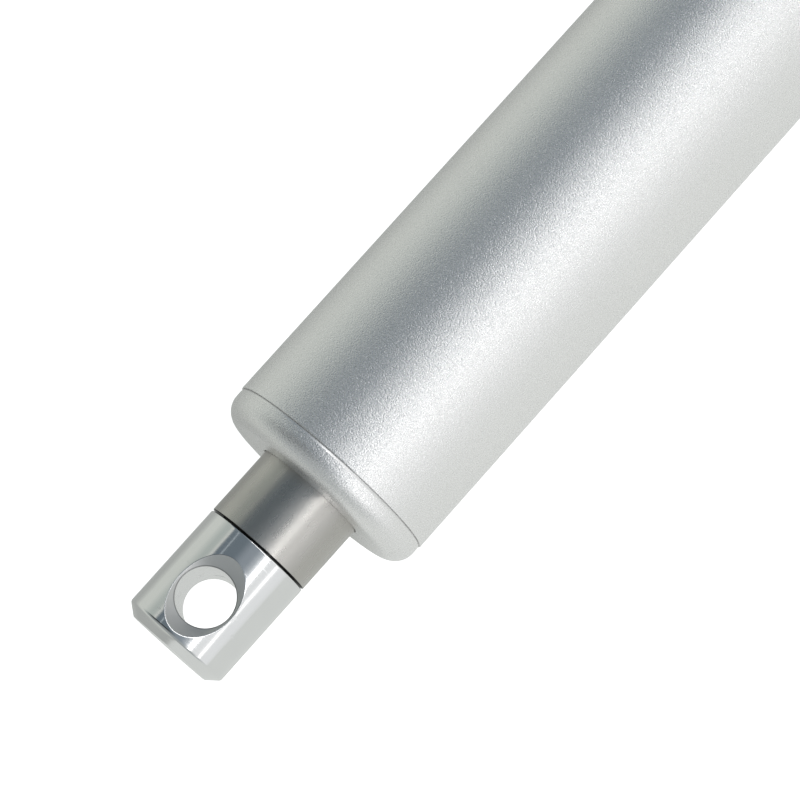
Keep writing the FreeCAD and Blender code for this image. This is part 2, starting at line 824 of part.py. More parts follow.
def bearing_block():
    """Bulkhead that carries the screw's bearing and shelters the coupling."""
    outer = bore_r - RUN
    cavity = BLOCK_CAVITY_OD / 2
    shoulder = BLOCK_SHOULDER_BORE / 2
    clip_front = bearing_front + CLIP_THICK
    clip_r = bearing_r + BEARING_CLIP_GROOVE
    return with_wire_flat(turned([
        (cover_front, cavity),
        (cover_front, outer),
        (block_front, outer),
        (block_front, bearing_r),
        (clip_front, bearing_r),
        (clip_front, clip_r),
        (bearing_front, clip_r),
        (bearing_front, bearing_r),
        (bearing_rear, bearing_r),
        (bearing_rear, shoulder),
        (bearing_rear - BLOCK_SHOULDER, shoulder),
        (bearing_rear - BLOCK_SHOULDER, cavity),
    ]))


def ball_track():
    """Ring that cuts the ball grooves."""
    return Part.makeTorus(ball_circle_r, ball_r + RUN, Vector(ball_x, 0, 0), Vector(1, 0, 0))


def bearing_outer_ring():
    """Outer race, in the block."""
    return sleeve(bearing_rear, bearing_front, bearing_r - SLIP, ball_circle_r + RACE_STEP).cut(ball_track())


def bearing_inner_ring():
    """Inner race, on the screw's journal."""
    return sleeve(bearing_rear, bearing_front, ball_circle_r - RACE_STEP, journal_r + SLIP).cut(ball_track())


def ball_places(radius):
    """Spheres round the bearing."""
    return around(Part.makeSphere(radius, Vector(ball_x, ball_circle_r, 0)), BALLS)


def bearing_balls():
    """The balls."""
    return Part.makeCompound(ball_places(ball_r))


def bearing_cage():
    """Ring that keeps the balls apart."""
    half = CAGE_WIDTH / 2
    outer = ball_circle_r + CAGE_THICK / 2
    ring = sleeve(ball_x - half, ball_x + half, outer, outer - CAGE_THICK)
    return without(ring, ball_places(ball_r + 2 * RUN))


def bearing_circlip():
    """Spring ring that holds the bearing in its block."""
    outer = bearing_r + BEARING_CLIP_GROOVE - SLIP
    return clip_ring(bearing_front, CLIP_THICK, bearing_r - BEARING_CLIP_REACH, outer, BEARING_CLIP_GAP)


def screw_circlip():
    """Spring ring behind the bearing, in the journal's groove."""
    inner = journal_r - SCREW_CLIP_GROOVE + SLIP
    return clip_ring(bearing_rear - CLIP_THICK, CLIP_THICK, inner, SCREW_CLIP_OD / 2, SCREW_CLIP_GAP)


def tube_snap_ring():
    """Spring ring in the tube's groove, in front of the bearing block; the leads pass its gap."""
    outer = bore_r + SNAP_GROOVE - SLIP
    return clip_ring(block_front, SNAP_THICK, bore_r - SNAP_REACH, outer, SNAP_GAP)


def lead_screw():
    """Screw blank: coupling stub, journal with a circlip groove, collar, threaded length and tip."""
    rear = shaft_joint + SHAFT_GAP / 2
    stub_front = coupling_front + LOOSE
    clip_r = journal_r - SCREW_CLIP_GROOVE
    clip_rear = bearing_rear - CLIP_THICK
    collar_front = bearing_front + COLLAR_LENGTH
    front = screw_tip + TIP_BUSH
    screw = turned([
        (rear, 0.0),
        (rear, output_r),
        (stub_front, output_r),
        (stub_front, journal_r),
        (clip_rear, journal_r),
        (clip_rear, clip_r),
        (bearing_rear, clip_r),
        (bearing_rear, journal_r),
        (bearing_front, journal_r),
        (bearing_front, collar_r),
        (collar_front, collar_r),
        (collar_front, screw_r),
        (screw_tip, screw_r),
        (screw_tip, output_r),
        (front - CHAMFER, output_r),
        (front, output_r - CHAMFER),
        (front, 0.0),
    ])
    return screw.cut(coupling_pin(coupling_pin_places[1], SLIP))


def screw_tip_bush():
    """Bush on the screw's tip that runs inside the rod."""
    return sleeve(screw_tip, screw_tip + TIP_BUSH, rod_bore_r - TIP_BUSH_CLEAR, output_r + SLIP)


def drive_nut():
    """Flanged nut whose hub is screwed into the rod."""
    hole = screw_r + NUT_CLEAR
    hub = rod_bore_r - SLIP
    hub_front = rod_rear + NUT_HUB
    return turned([
        (shoe_rear, hole),
        (shoe_rear, nut_flange_r),
        (rod_rear, nut_flange_r),
        (rod_rear, hub),
        (hub_front - CHAMFER, hub),
        (hub_front, hub - CHAMFER),
        (hub_front, hole),
    ])


def guide_shoe():
    """Plastic shoe round the nut; its two keys run in the tube's grooves and stop the rod turning."""
    outer = bore_r - LOOSE
    seat = nut_flange_r + SLIP
    inner = rod_r + SLIP
    shoe = turned([
        (shoe_rear, seat),
        (shoe_rear, outer),
        (shoe_front, outer),
        (shoe_front, inner),
        (rod_rear, inner),
        (rod_rear, seat),
    ])
    half = KEY_WIDTH / 2
    key = slab(shoe_rear, shoe_front, bore_r - KEY_ROOT, bore_r + KEY_HEIGHT, -half, half)
    shoe = shoe.multiFuse(around(key, 2)).removeSplitter()
    return shoe.cut(slab(shoe_rear, shoe_front, -tube_r, tube_r, -tube_r, board_top + SHOE_CLEAR))


def rod_tube():
    """Ground steel tube with broken edges."""
    return turned([
        (rod_rear, rod_bore_r),
        (rod_rear, rod_r - ROD_EDGE),
        (rod_rear + ROD_EDGE, rod_r),
        (rod_front - ROD_EDGE, rod_r),
        (rod_front, rod_r - ROD_EDGE),
        (rod_front, rod_bore_r),
    ])


def rod_end():
    """Turned end with a spigot in the rod, a chamfered tip and a countersunk cross hole."""
    spigot = rod_bore_r - SLIP
    spigot_back = eye_rear - EYE_SPIGOT
    body = turned([
        (spigot_back, 0.0),
        (spigot_back, spigot - CHAMFER),
        (spigot_back + CHAMFER, spigot),
        (eye_rear, spigot),
        (eye_rear, rod_r - EDGE),
        (eye_rear + EDGE, rod_r),
        (tip - TIP_CHAMFER_LENGTH, rod_r),
        (tip, rod_r - TIP_CHAMFER_DEPTH),
        (tip, 0.0),
    ])
    depth = (EYE_SINK / 2 - eye_hole_r) / math.tan(math.radians(EYE_SINK_ANGLE / 2))
    return without(body, [
        upright(front_eye, eye_hole_r, -rod_r, rod_r),
        countersink(front_eye, eye_hole_r, depth, EYE_SINK_ANGLE, rod_r, 1),
        countersink(front_eye, eye_hole_r, depth, EYE_SINK_ANGLE, rod_r, -1),
    ])


def switch_board():
    """Narrow circuit board along the bottom of the tube."""
    half = BOARD_WIDTH / 2
    return slab(board_rear, board_front, -half, half, BOARD_Z, board_top)


def switch_case(rear, front, pocket):
    """Switch body on the board, with a pocket that the button slides in."""
    half = SWITCH_WIDTH / 2
    case = slab(rear, front, -half, half, board_top, board_top + SWITCH_HEIGHT)
    top_edges = [e for e in case.Edges if e.BoundBox.ZMin > board_top + NEAR]
    return case.makeChamfer(SWITCH_CHAMFER, top_edges).cut(pocket)


def button_block(rear, front, grow):
    """Button of a switch, or the pocket for it."""
    half = BUTTON_WIDTH / 2 + grow
    low = board_top + BUTTON_RISE
    return slab(rear, front, -half, half, low - grow, low + BUTTON_HEIGHT + grow)


def rear_switch():
    """Switch that stops the rod when it is in."""
    pocket = button_block(rear_switch_front - BUTTON_POCKET, rear_switch_front, BUTTON_CLEAR)
    return switch_case(rear_switch_rear, rear_switch_front, pocket)


def rear_switch_button():
    """Its button, which the nut pushes to the rear."""
    return button_block(rear_switch_front - BUTTON_INSIDE, rear_switch_front + BUTTON_REACH, 0)


def front_switch():
    """Switch that stops the rod when it is out."""
    pocket = button_block(front_switch_rear, front_switch_rear + BUTTON_POCKET, BUTTON_CLEAR)
    return switch_case(front_switch_rear, front_switch_front, pocket)


def front_switch_button():
    """Its button, which the shoe pushes to the front."""
    return button_block(front_switch_rear - BUTTON_REACH, front_switch_rear + BUTTON_INSIDE, 0)


def motor_lead(side):
    """Lead from the board, under the gearbox and motor, round to the terminal on that side."""
    turn_x = motor_rear - TERMINAL_REACH + TERMINAL_HOLE_INSET
    start = Vector(board_rear, side * LEAD_Y, LEAD_Z)
    corner = Vector(turn_x, side * LEAD_Y, LEAD_Z)
    last = Vector(turn_x, side * TERMINAL_Y, LEAD_END_Z)
    rise = last - corner
    rise.normalize()
    bend_in = corner + Vector(LEAD_BEND, 0, 0)
    bend_out = corner + rise * LEAD_BEND
    hub = bend_in + rise * LEAD_BEND
    middle = hub - (Vector(1, 0, 0) + rise) * (LEAD_BEND * math.sqrt(0.5))
    path = Part.Wire([
        Part.makeLine(start, bend_in),
        Part.Arc(bend_in, middle, bend_out).toShape(),
        Part.makeLine(bend_out, last),
    ])
    section = Part.Wire(Part.makeCircle(LEAD_OD / 2, start, Vector(1, 0, 0)))
    return path.makePipeShell([section], True, False)


def motor_leads():
    """The two leads."""
    return Part.makeCompound([motor_lead(side) for side in (-1, 1)])


PIECES = (
    outer_tube, front_cap, front_seal_ring, guide_bush, rod_wiper, rear_cap, rear_seal_ring, cable_grommet,
    motor_can, motor_magnets, motor_end_bell, motor_terminals, motor_bushes, motor_brushes, commutator,
    motor_shaft, armature_core, armature_windings, gearbox_plate, gearbox_screws, gear_ring, first_sun_gear,
    second_sun_gear, first_carrier, output_carrier, gearbox_cover, output_bush, shaft_coupling, coupling_pins,
    bearing_block, bearing_outer_ring, bearing_inner_ring, bearing_balls, bearing_cage, bearing_circlip,
    screw_circlip, tube_snap_ring, lead_screw, screw_tip_bush, drive_nut, guide_shoe, rod_tube, rod_end,
    switch_board, rear_switch, rear_switch_button, front_switch, front_switch_button, motor_leads,
)


def main():
    """Write every piece to its own file."""
    os.makedirs("parts", exist_ok=True)
    for make in PIECES:
        make().exportStep(f"parts/{make.__name__}.step")
    for name, stage in (("first", first_stage), ("second", second_stage)):
        for number in range(PLANETS):
            planet(stage, number).exportStep(f"parts/{name}_planet_{number + 1}.step")


main()
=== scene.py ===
"""Finishes, fine surfaces, stage and camera for a pen-type linear actuator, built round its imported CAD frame.

Lengths are in metres. X runs along the tube towards the rod end, and Z along both eye holes.
"""
import json
import math
from typing import NamedTuple

import bmesh
import bpy
import numpy as np
from bpy.props import FloatProperty, FloatVectorProperty, IntProperty, PointerProperty
from mathutils import Matrix, Vector


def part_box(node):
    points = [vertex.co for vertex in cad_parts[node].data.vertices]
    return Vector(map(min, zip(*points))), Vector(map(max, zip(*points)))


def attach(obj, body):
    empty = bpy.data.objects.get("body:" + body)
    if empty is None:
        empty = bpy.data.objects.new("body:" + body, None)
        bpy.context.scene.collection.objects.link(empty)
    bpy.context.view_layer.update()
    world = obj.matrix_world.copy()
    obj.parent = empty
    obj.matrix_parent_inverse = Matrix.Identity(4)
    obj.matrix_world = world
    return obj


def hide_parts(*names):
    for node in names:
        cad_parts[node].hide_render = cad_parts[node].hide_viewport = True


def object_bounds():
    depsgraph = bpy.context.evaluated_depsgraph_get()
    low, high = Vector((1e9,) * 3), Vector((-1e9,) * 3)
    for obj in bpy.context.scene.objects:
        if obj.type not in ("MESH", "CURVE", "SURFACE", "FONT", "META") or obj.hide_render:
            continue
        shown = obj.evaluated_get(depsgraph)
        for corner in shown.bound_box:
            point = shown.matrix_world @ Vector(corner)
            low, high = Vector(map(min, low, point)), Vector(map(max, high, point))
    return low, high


bl_info = {
    "name": "Pen-type linear actuator",
    "version": (1, 0, 0),
    "blender": (4, 5, 0),
    "location": "3D View > Sidebar > Actuator",
    "description": "Builds the looks of a pen-type linear actuator round its CAD frame",
    "category": "Object",
}

MM = 0.001
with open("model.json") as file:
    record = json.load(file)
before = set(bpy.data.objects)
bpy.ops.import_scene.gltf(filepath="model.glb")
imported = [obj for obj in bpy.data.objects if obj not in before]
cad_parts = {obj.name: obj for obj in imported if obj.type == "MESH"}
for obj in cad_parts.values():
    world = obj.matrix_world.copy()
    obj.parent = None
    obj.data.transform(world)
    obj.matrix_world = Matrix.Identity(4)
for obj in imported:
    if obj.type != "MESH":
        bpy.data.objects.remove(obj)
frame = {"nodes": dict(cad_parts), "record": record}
CAD_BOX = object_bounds()
COLOURS = {m["slot"]: m["base_color"] for m in frame["record"]["materials"]}
SLOT_OF = {s["node"]: s["material_slot"] for s in frame["record"]["subparts"]}
MOUNTS = {m["name"]: m for m in frame["record"]["mounts"]}

# Gaps round the pieces that set the tube's bore and seats
BLOCK_PLAY = 0.03 * MM
SEAL_PLAY = 0.005 * MM

# Fineness of the meshes
ARC_STEP = 0.15 * MM
SUPPORT_SHARE = 0.3
MERGE_DISTANCE = 0.0005 * MM
SHARP_ANGLE = math.radians(30.0)


def span(cad_node):
    """Rear and front end of a CAD node along X."""
    low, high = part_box(cad_node)
    return low.x, high.x


def reach(cad_node):
    """Outside radius of a CAD node that is round about X."""
    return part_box(cad_node)[1].z


# Settings

def setting(kind, **fixed):
    """Maker of one kind of property, from a name, a default and a description."""
    def make(name, default, description):
        return kind(name=name, default=default, description=description, **fixed)
    return make


length = setting(FloatProperty, min=0.0, precision=5, unit="LENGTH")
angular = setting(FloatProperty, subtype="ANGLE")
number = setting(FloatProperty, min=0.0)
whole = setting(IntProperty, min=1, subtype="UNSIGNED")
colour = setting(FloatVectorProperty, min=0.0, max=4.0, subtype="COLOR")
spot = setting(FloatVectorProperty, subtype="TRANSLATION", unit="LENGTH")


class ActuatorSizes(bpy.types.PropertyGroup):
    """Sizes of the surfaces that stand for CAD pieces; the main ones come from the frame."""
    tube_radius: length("Tube radius", reach("outer_tube"), "Outside radius of the tube")
    tube_bore: length("Tube bore", reach("bearing_block") + BLOCK_PLAY, "Radius between the seats")
    seat_radius: length("Cap seat", reach("front_seal_ring") + SEAL_PLAY, "Radius of the seats for both caps")
    rear_seat: length("Rear seat", 6.4 * MM, "Depth of the rear cap's seat")
    spigot_play: length("Spigot play", 0.02 * MM, "Gap between a cap's spigot and its seat")
    key_floor: length("Key groove floor", 8.75 * MM, "Distance of the key grooves' floors from the axis")
    key_half: length("Key groove half width", 1.1 * MM, "Half the width of the key grooves in the bore")
    edge: length("Edge rounding", 0.12 * MM, "Rounding of the outer edges")
    seam_length: length("Seam chamfer length", 0.25 * MM, "Length of the front cap's rear chamfer")
    seam_depth: length("Seam chamfer depth", 0.07 * MM, "Depth of the front cap's rear chamfer")
    seam_gap: length("Seam gap", 0.02 * MM, "Slit between the tube and the front cap")
    cap_radius: length("Cap radius", reach("front_cap"), "Outside radius of the front cap's flange")
    cap_round: length("Cap rounding", 1.9 * MM, "Rounding of the front cap's outer edge")
    seal_half: length("Seal groove half width", 0.6 * MM, "Half the width of the front cap's seal groove")
    rod_radius: length("Rod radius", reach("rod_tube"), "Outside radius of the rod")
    rod_edge: length("Rod edge", 0.05 * MM, "Rounding of the rod's edges")
    rod_bore: length("Rod bore", 4.0 * MM, "Radius of the bore in the rod")
    rod_play: length("Rod play", 0.1 * MM, "Gap between the rod and the hole in the front cap")
    rod_gap: length("Rod end gap", 0.15 * MM, "Gap between the rod and the rod end")
    eye_radius: length("Eye radius", MOUNTS["front_eye"]["dims"]["r_mm"] * MM, "Radius of the cross hole")
    sink_mouth: length("Countersink mouth", 3.8 * MM, "Radius of the countersinks along the rod end")
    sink_angle: angular("Countersink angle", math.radians(100.0), "Full angle of the countersinks")
    sink_soft: length("Countersink softness", 0.05 * MM, "Reach of the softened edge round the countersinks")
    hole_ring: length("Hole ring", 0.09 * MM, "Width of the dull ring at the cross hole's edge")
    end_soft: length("Rod end softness", 0.08 * MM, "Width of the rod end's softened edges")
    tip_length: length("Tip chamfer length", 0.85 * MM, "Length of the rod end's chamfer along the axis")
    tip_depth: length("Tip chamfer depth", 1.05 * MM, "Depth of the rod end's chamfer across the axis")
    tip_soft: length("Tip softness", 0.35 * MM, "Rounding between the rod end's cylinder and its chamfer")
    grommet_flange: length("Grommet flange", 0.9 * MM, "Thickness of the grommet's flange")
    grommet_shank: length("Grommet shank", 1.63 * MM, "Radius of the grommet's shank")
    grommet_bore: length("Grommet bore", 1.25 * MM, "Radius of the grommet's hole")
    grommet_soft: length("Grommet softness", 0.25 * MM, "Rounding of the grommet's outer edges")
    screw_stub: length("Screw stub", 2.0 * MM, "Radius of the screw's two ends")
    screw_journal: length("Screw journal", 2.5 * MM, "Radius of the screw in its bearing")
    screw_groove: length("Circlip groove", 2.2 * MM, "Radius of the circlip groove's floor")
    screw_collar: length("Screw collar", 3.4 * MM, "Radius of the collar in front of the bearing")
    collar_length: length("Collar length", 1.5 * MM, "Length of the collar in front of the bearing")
    coupling_gap: length("Coupling gap", 0.1 * MM, "Gap between the coupling and the screw's journal")
    thread_crest: length("Thread crest", 3.0 * MM, "Outside radius of the screw's thread")
    thread_depth: length("Thread depth", 0.6 * MM, "Depth of the screw's thread")
    thread_lead: length("Thread lead", 2.0 * MM, "Travel of the nut for one turn of the screw")
    thread_starts: whole("Thread starts", 2, "Threads side by side on the screw")
    round_steps: whole("Steps round", 192, "Faces round the large turned pieces")


class ActuatorColours(bpy.types.PropertyGroup):
    """Base colours of the finishes that show, and how far painted shade darkens some of their faces."""
    blasted: colour("Blasted aluminium", (0.95, 0.94, 0.938), "Tube and caps")
    ground: colour("Ground steel", (0.54, 0.525, 0.50), "Rod")
    bright: colour("Bright aluminium", (0.848, 0.85, 0.852), "Rod end")
    # Painted shade in the seam slit: the tube's front face and the cap's rear face are darkened
    seam_painted_shade: number("Seam shade", 0.3, "Darkening of both faces in the seam")
    # Painted shade in the gap at the rod's front face
    rod_painted_shade: number("Rod shade", 0.9, "Darkening of the rod's front face")
    # Painted shade on the rod end: its shoulder in the gap, its countersinks and the ring at the hole's edge
    shoulder_painted_shade: number("Shoulder shade", 0.93, "Darkening of the rod end's shoulder")
    sink_painted_shade: number("Countersink shade", 0.2, "Darkening of the countersinks")
    ring_painted_shade: number("Ring shade", 0.35, "Further darkening of the ring at the cross hole's edge")
    sink_dull: number("Countersink dullness", 1.4, "Dullness, against one for the hole's wall")


class ActuatorStage(bpy.types.PropertyGroup):
    """Camera, lights, surroundings and floor."""
    camera_place: spot("Camera place", (0.1845, 0.0342, 0.2349), "Where the camera stands")
    camera_aim: spot("Camera aim", (0.15165, 0.00052, 0.0), "Point in the middle of the picture")
    axis_angle: angular("Axis angle", math.radians(228.13), "Tube's axis in the picture, from right")
    lens: FloatProperty(name="Lens", description="Focal length", default=128.1, min=10.0, unit="CAMERA")
    ceiling: colour("Ceiling", (0.145, 0.177, 0.202), "Dark surroundings above the object")
    ceiling_gap: colour("Ceiling gap", (0.60, 0.66, 0.69), "Thin lighter line in the ceiling")
    ceiling_edge: colour("Ceiling edge", (0.262, 0.298, 0.330), "Ceiling near the key light")
    ceiling_ahead: colour("Ceiling ahead", (0.0145, 0.0177, 0.0202), "Ceiling in front of the object")
    glow: colour("Glow", (0.4684, 0.5026, 0.531), "Between the ceiling's edge and the halo")
    halo: colour("Halo", (0.95, 0.98, 1.0), "Surroundings beside the key light")
    left_wall: colour("Left wall", (0.435, 0.475, 0.45), "Surroundings on the -Y side")
    wall_rim: colour("Wall rim", (0.60, 0.62, 0.585), "Upper edge of the left wall")
    right_wall: colour("Right wall", (0.82, 0.835, 0.84), "Surroundings on the +Y side")
    end_wall: colour("End walls", (0.36, 0.385, 0.385), "Surroundings in line with the tube")
    backdrop: colour("Backdrop", (1.0, 1.0, 1.0), "Backdrop as the camera sees it")
    key_angle: angular("Key strip angle", math.radians(32.2), "Its middle, from overhead towards +Y")
    key_width: angular("Key strip width", math.radians(7.2), "Angle that it takes up")
    key_strength: number("Key strip", 3.3, "Radiance of the wide strip light")
    rim_angle: angular("Rim strip angle", math.radians(57.6), "Its middle, from overhead towards +Y")
    rim_width: angular("Rim strip width", math.radians(6.0), "Angle that it takes up")
    rim_strength: number("Rim strip", 1.5, "Radiance of the narrow strip light")
    floor_matt: colour("Floor", (0.9, 0.9, 0.9), "Floor as the camera sees it")
    floor_lift: number("Floor lift", 0.85, "Glow of the floor for the camera")
    # For what mirrors the floor, it glows with painted light from these, lighter on the +Y side, with painted
    # shade just beside the tube
    floor_left: colour("Floor on the left", (0.61, 0.635, 0.595), "Floor that the object mirrors, -Y side")
    floor_painted_shade: colour("Floor shade", (0.42, 0.435, 0.42), "Floor that the object mirrors just beside it")
    floor_right: colour("Floor on the right", (0.68, 0.70, 0.68), "Floor that the object mirrors, +Y side")


# Surfaces

def rounded(corners, wrap=True):
    """Outline through corners (x, r, fillet): a fillet is an arc tangent to both sides of its corner,
    with a support point beside each end so that shading stays true up to it."""
    at = np.array([c[:2] for c in corners])
    points = []
    for i, (here, fillet) in enumerate(zip(at, (c[2] for c in corners))):
        if fillet == 0.0 or (not wrap and i in (0, len(at) - 1)):
            points.append(here)
            continue
        sides = [at[i - 1] - here, at[(i + 1) % len(at)] - here]
        runs = [np.linalg.norm(s) for s in sides]
        back, ahead = (s / r for s, r in zip(sides, runs))
        half = math.acos(np.clip(back @ ahead, -1.0, 1.0)) / 2
        cut = fillet / math.tan(half)
        centre = here + (back + ahead) / np.linalg.norm(back + ahead) * fillet / math.sin(half)
        sweep = math.pi - 2 * half
        share = np.linspace(0.0, 1.0, max(3, math.ceil(sweep * fillet / ARC_STEP)) + 1)[:, None]
        start, end = here + back * cut - centre, here + ahead * cut - centre
        arc = centre + (np.sin((1 - share) * sweep) * start + np.sin(share * sweep) * end) / math.sin(sweep)
        support = [min(fillet, (run - cut) * SUPPORT_SHARE) for run in runs]
        points += [here + back * (cut + support[0]), *arc, here + ahead * (cut + support[1])]
    return np.array(points)


def divided(outline, longest, wrap=True):
    """The outline with every run cut into equal parts no longer than that."""
    ends = np.roll(outline, -1, 0) if wrap else outline[1:]
    parts = []
    for a, b in zip(outline, ends):
        count = max(1, math.ceil(np.linalg.norm(b - a) / longest))
        parts.append(a + (b - a) * (np.arange(count) / count)[:, None])
    return np.concatenate(parts if wrap else parts + [outline[-1:]])


def turns(steps):
    """Angles of that many steps round."""
    return np.arange(steps) * (2 * math.pi / steps)


def lathe(x, r, steps):
    """Grid of points (x, r cos t, r sin t): row by row along an outline, and round X in equal steps of t.
    r holds one radius a row, or one a row and a step."""
    t = turns(steps)[None, :]
    r = r if r.ndim == 2 else r[:, None]
    return np.stack(np.broadcast_arrays(x[:, None], r * np.cos(t), r * np.sin(t)), axis=-1)


def quads(rows, columns, wrap_rows, wrap_columns):
    """Faces of a grid numbered row by row, closed where it wraps."""
    i = np.arange(rows if wrap_rows else rows - 1)[:, None]
    j = np.arange(columns if wrap_columns else columns - 1)[None, :]
    i_next, j_next = (i + 1) % rows, (j + 1) % columns
    corners = (i * columns + j, i * columns + j_next, i_next * columns + j_next, i_next * columns + j)
    return np.stack(np.broadcast_arrays(*corners), axis=-1).reshape(-1, 4)


def patch(grid, wrap_rows=False, wrap_columns=False):
    """Points and faces of a grid of points."""
    return grid.reshape(-1, 3), quads(*grid.shape[:2], wrap_rows, wrap_columns)


def turned(outline, steps, wrap=True):
    """Surface of an outline turned about X."""
    return patch(lathe(outline[:, 0], outline[:, 1], steps), wrap, True)


def merge(mesh, outward):
    """Merges a mesh at shared edges, faces it outward if asked, and counts the edges left open."""
    work = bmesh.new()
    work.from_mesh(mesh)
    bmesh.ops.remove_doubles(work, verts=work.verts, dist=MERGE_DISTANCE)
    if outward:
        bmesh.ops.recalc_face_normals(work, faces=work.faces)
    open_edges = sum(not e.is_manifold for e in work.edges)
    work.to_mesh(mesh)
    work.free()
    return open_edges


def piece(name, cad_node, body, surfaces):
    """Object of closed surfaces that stands for a CAD node: joined, merged and faced outward."""
    points, faces, count = [], [], 0
    for corner_points, corner_faces in surfaces:
        points.append(corner_points)
        faces += (corner_faces + count).tolist()
        count += len(corner_points)
    mesh = bpy.data.meshes.new(name)
    mesh.from_pydata(np.concatenate(points).tolist(), [], faces)
    open_edges = merge(mesh, outward=True)
    if open_edges:
        raise RuntimeError(f"{name} has {open_edges} open edges")
    return shown(name, mesh, cad_node, body)


def linked(name, data):
    """New object in the scene."""
    made = bpy.data.objects.new(name, data)
    bpy.context.scene.collection.objects.link(made)
    return made


def shown(name, mesh, cad_node, body):
    """Puts a mesh into the scene in place of a CAD node, smooth but for its sharp edges, with its finish."""
    mesh.polygons.foreach_set("use_smooth", np.ones(len(mesh.polygons), bool))
    mesh.set_sharp_from_angle(angle=SHARP_ANGLE)
    mesh.materials.clear()
    mesh.materials.append(finish(SLOT_OF[cad_node]))
    made = linked(name, mesh)
    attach(made, body)
    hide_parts(cad_node)
    return made


def centres(mesh):
    """Centres of a mesh's faces, as three arrays."""
    found = np.empty(len(mesh.polygons) * 3)
    mesh.polygons.foreach_get("center", found)
    return found.reshape(-1, 3).T


def mark(mesh, name, values):
    """Face attribute that a finish reads."""
    mesh.attributes.new(name, "FLOAT", "FACE").data.foreach_set("value", np.asarray(values, np.float32))


# Shader parts

# Heights that most of a noise lies between, and its middle
NOISE_RANGE = (0.3, 0.7)
NOISE_MIDDLE = 0.5


def fill(tree, made, values):
    """Sets a node's inputs; an output given as a value is linked."""
    for key, value in dict(values).items():
        if isinstance(value, bpy.types.NodeSocket):
            tree.links.new(value, made.inputs[key])
        else:
            made.inputs[key].default_value = value


def node(tree, kind, values=(), **settings):
    """Adds a node, sets its attributes, then its inputs."""
    made = tree.nodes.new(kind)
    for key, value in settings.items():
        setattr(made, key, value)
    fill(tree, made, values)
    return made


def maths(tree, operation, *values):
    """Output of a maths node."""
    return node(tree, "ShaderNodeMath", enumerate(values), operation=operation).outputs[0]


def ranged(tree, value, low, high, to_low, to_high):
    """Value carried from one range to another, and held at its ends."""
    values = {"Value": value, "From Min": low, "From Max": high, "To Min": to_low, "To Max": to_high}
    return node(tree, "ShaderNodeMapRange", values).outputs["Result"]


def raised(tree, value, mask, by):
    """Value raised by an amount where a mask is one."""
    return maths(tree, "MULTIPLY_ADD", mask, by, value)


def inverse(tree, mask):
    """One where a mask is nought, and nought where it is one or more."""
    return ranged(tree, mask, 0.0, 1.0, 1.0, 0.0)


def own_place(tree):
    """Place of a point in its object's coordinates."""
    return node(tree, "ShaderNodeTexCoord").outputs["Object"]


def axes(tree, vector):
    """X, Y and Z of a vector."""
    return node(tree, "ShaderNodeSeparateXYZ", {0: vector}).outputs


def scaled(tree, rgb, scale):
    """Colour times a number."""
    return node(tree, "ShaderNodeVectorMath", {0: rgb, "Scale": scale}, operation="SCALE").outputs[0]


def drawn_noise(tree, frequency, detail):
    """Noise drawn out along the object's axes by its frequencies a metre."""
    values = {0: own_place(tree), 1: frequency}
    drawn = node(tree, "ShaderNodeVectorMath", values, operation="MULTIPLY").outputs[0]
    return node(tree, "ShaderNodeTexNoise", {"Vector": drawn, "Scale": 1.0, "Detail": detail}).outputs[0]


def new_group(name, inputs, output, kind):
    """Empty shader group with its inputs (name, kind, default) and one output."""
    tree = bpy.data.node_groups.new(name, "ShaderNodeTree")
    for label, socket_kind, default in inputs:
        tree.interface.new_socket(label, in_out="INPUT", socket_type=socket_kind).default_value = default
    tree.interface.new_socket(output, in_out="OUTPUT", socket_type=kind)
    return tree, node(tree, "NodeGroupInput").outputs


def grain_group():
    """Height of a fine grain, drawn out along the axes by its frequencies."""
    tree, given = new_group("Grain", [("Frequency", "NodeSocketVector", (1000.0, 1000.0, 1000.0)),
                                      ("Detail", "NodeSocketFloat", 2.0)], "Height", "NodeSocketFloat")
    node(tree, "NodeGroupOutput", {"Height": drawn_noise(tree, given["Frequency"], given["Detail"])})
    return tree


def turning_group():
    """Height of the rings that a turning tool leaves about X."""
    tree, given = new_group("Turning marks", [("Frequency", "NodeSocketFloat", 8000.0)],
                            "Height", "NodeSocketFloat")
    along = maths(tree, "MULTIPLY", axes(tree, own_place(tree))["X"], given["Frequency"])
    values = {"W": along, "Scale": 1.0, "Detail": 1.0}
    height = node(tree, "ShaderNodeTexNoise", values, noise_dimensions="1D").outputs[0]
    node(tree, "NodeGroupOutput", {"Height": height})
    return tree


def scuff_group():
    """Mask of sparse short scuffs: the peaks of a drawn-out noise, with a narrow fade round each."""
    tree, given = new_group("Scuffs", [("Frequency", "NodeSocketVector", (300.0, 2000.0, 2000.0)),
                                       ("Threshold", "NodeSocketFloat", 0.7)], "Mask", "NodeSocketFloat")
    fade = 0.04
    height = drawn_noise(tree, given["Frequency"], detail=1.0)
    full = maths(tree, "ADD", given["Threshold"], fade)
    node(tree, "NodeGroupOutput", {"Mask": ranged(tree, height, given["Threshold"], full, 0.0, 1.0)})
    return tree


def mottle_group():
    """A colour made a little lighter and darker from place to place."""
    tree, given = new_group("Mottle", [("Colour", "NodeSocketColor", (0.5, 0.5, 0.5, 1.0)),
                                       ("Frequency", "NodeSocketFloat", 300.0),
                                       ("Amount", "NodeSocketFloat", 0.08)], "Colour", "NodeSocketColor")
    values = {"Vector": own_place(tree), "Scale": given["Frequency"], "Detail": 3.0}
    noise = node(tree, "ShaderNodeTexNoise", values).outputs[0]
    lift = raised(tree, 1.0, maths(tree, "SUBTRACT", noise, NOISE_MIDDLE), by=given["Amount"])
    node(tree, "NodeGroupOutput", {"Colour": scaled(tree, given["Colour"], lift)})
    return tree


GROUPS = {"Grain": grain_group, "Turning marks": turning_group, "Scuffs": scuff_group, "Mottle": mottle_group}


def shared(tree, name, values):
    """Output of a shared shader group in a material."""
    group = bpy.data.node_groups.get(name) or GROUPS[name]()
    return node(tree, "ShaderNodeGroup", values, node_tree=group).outputs[0]


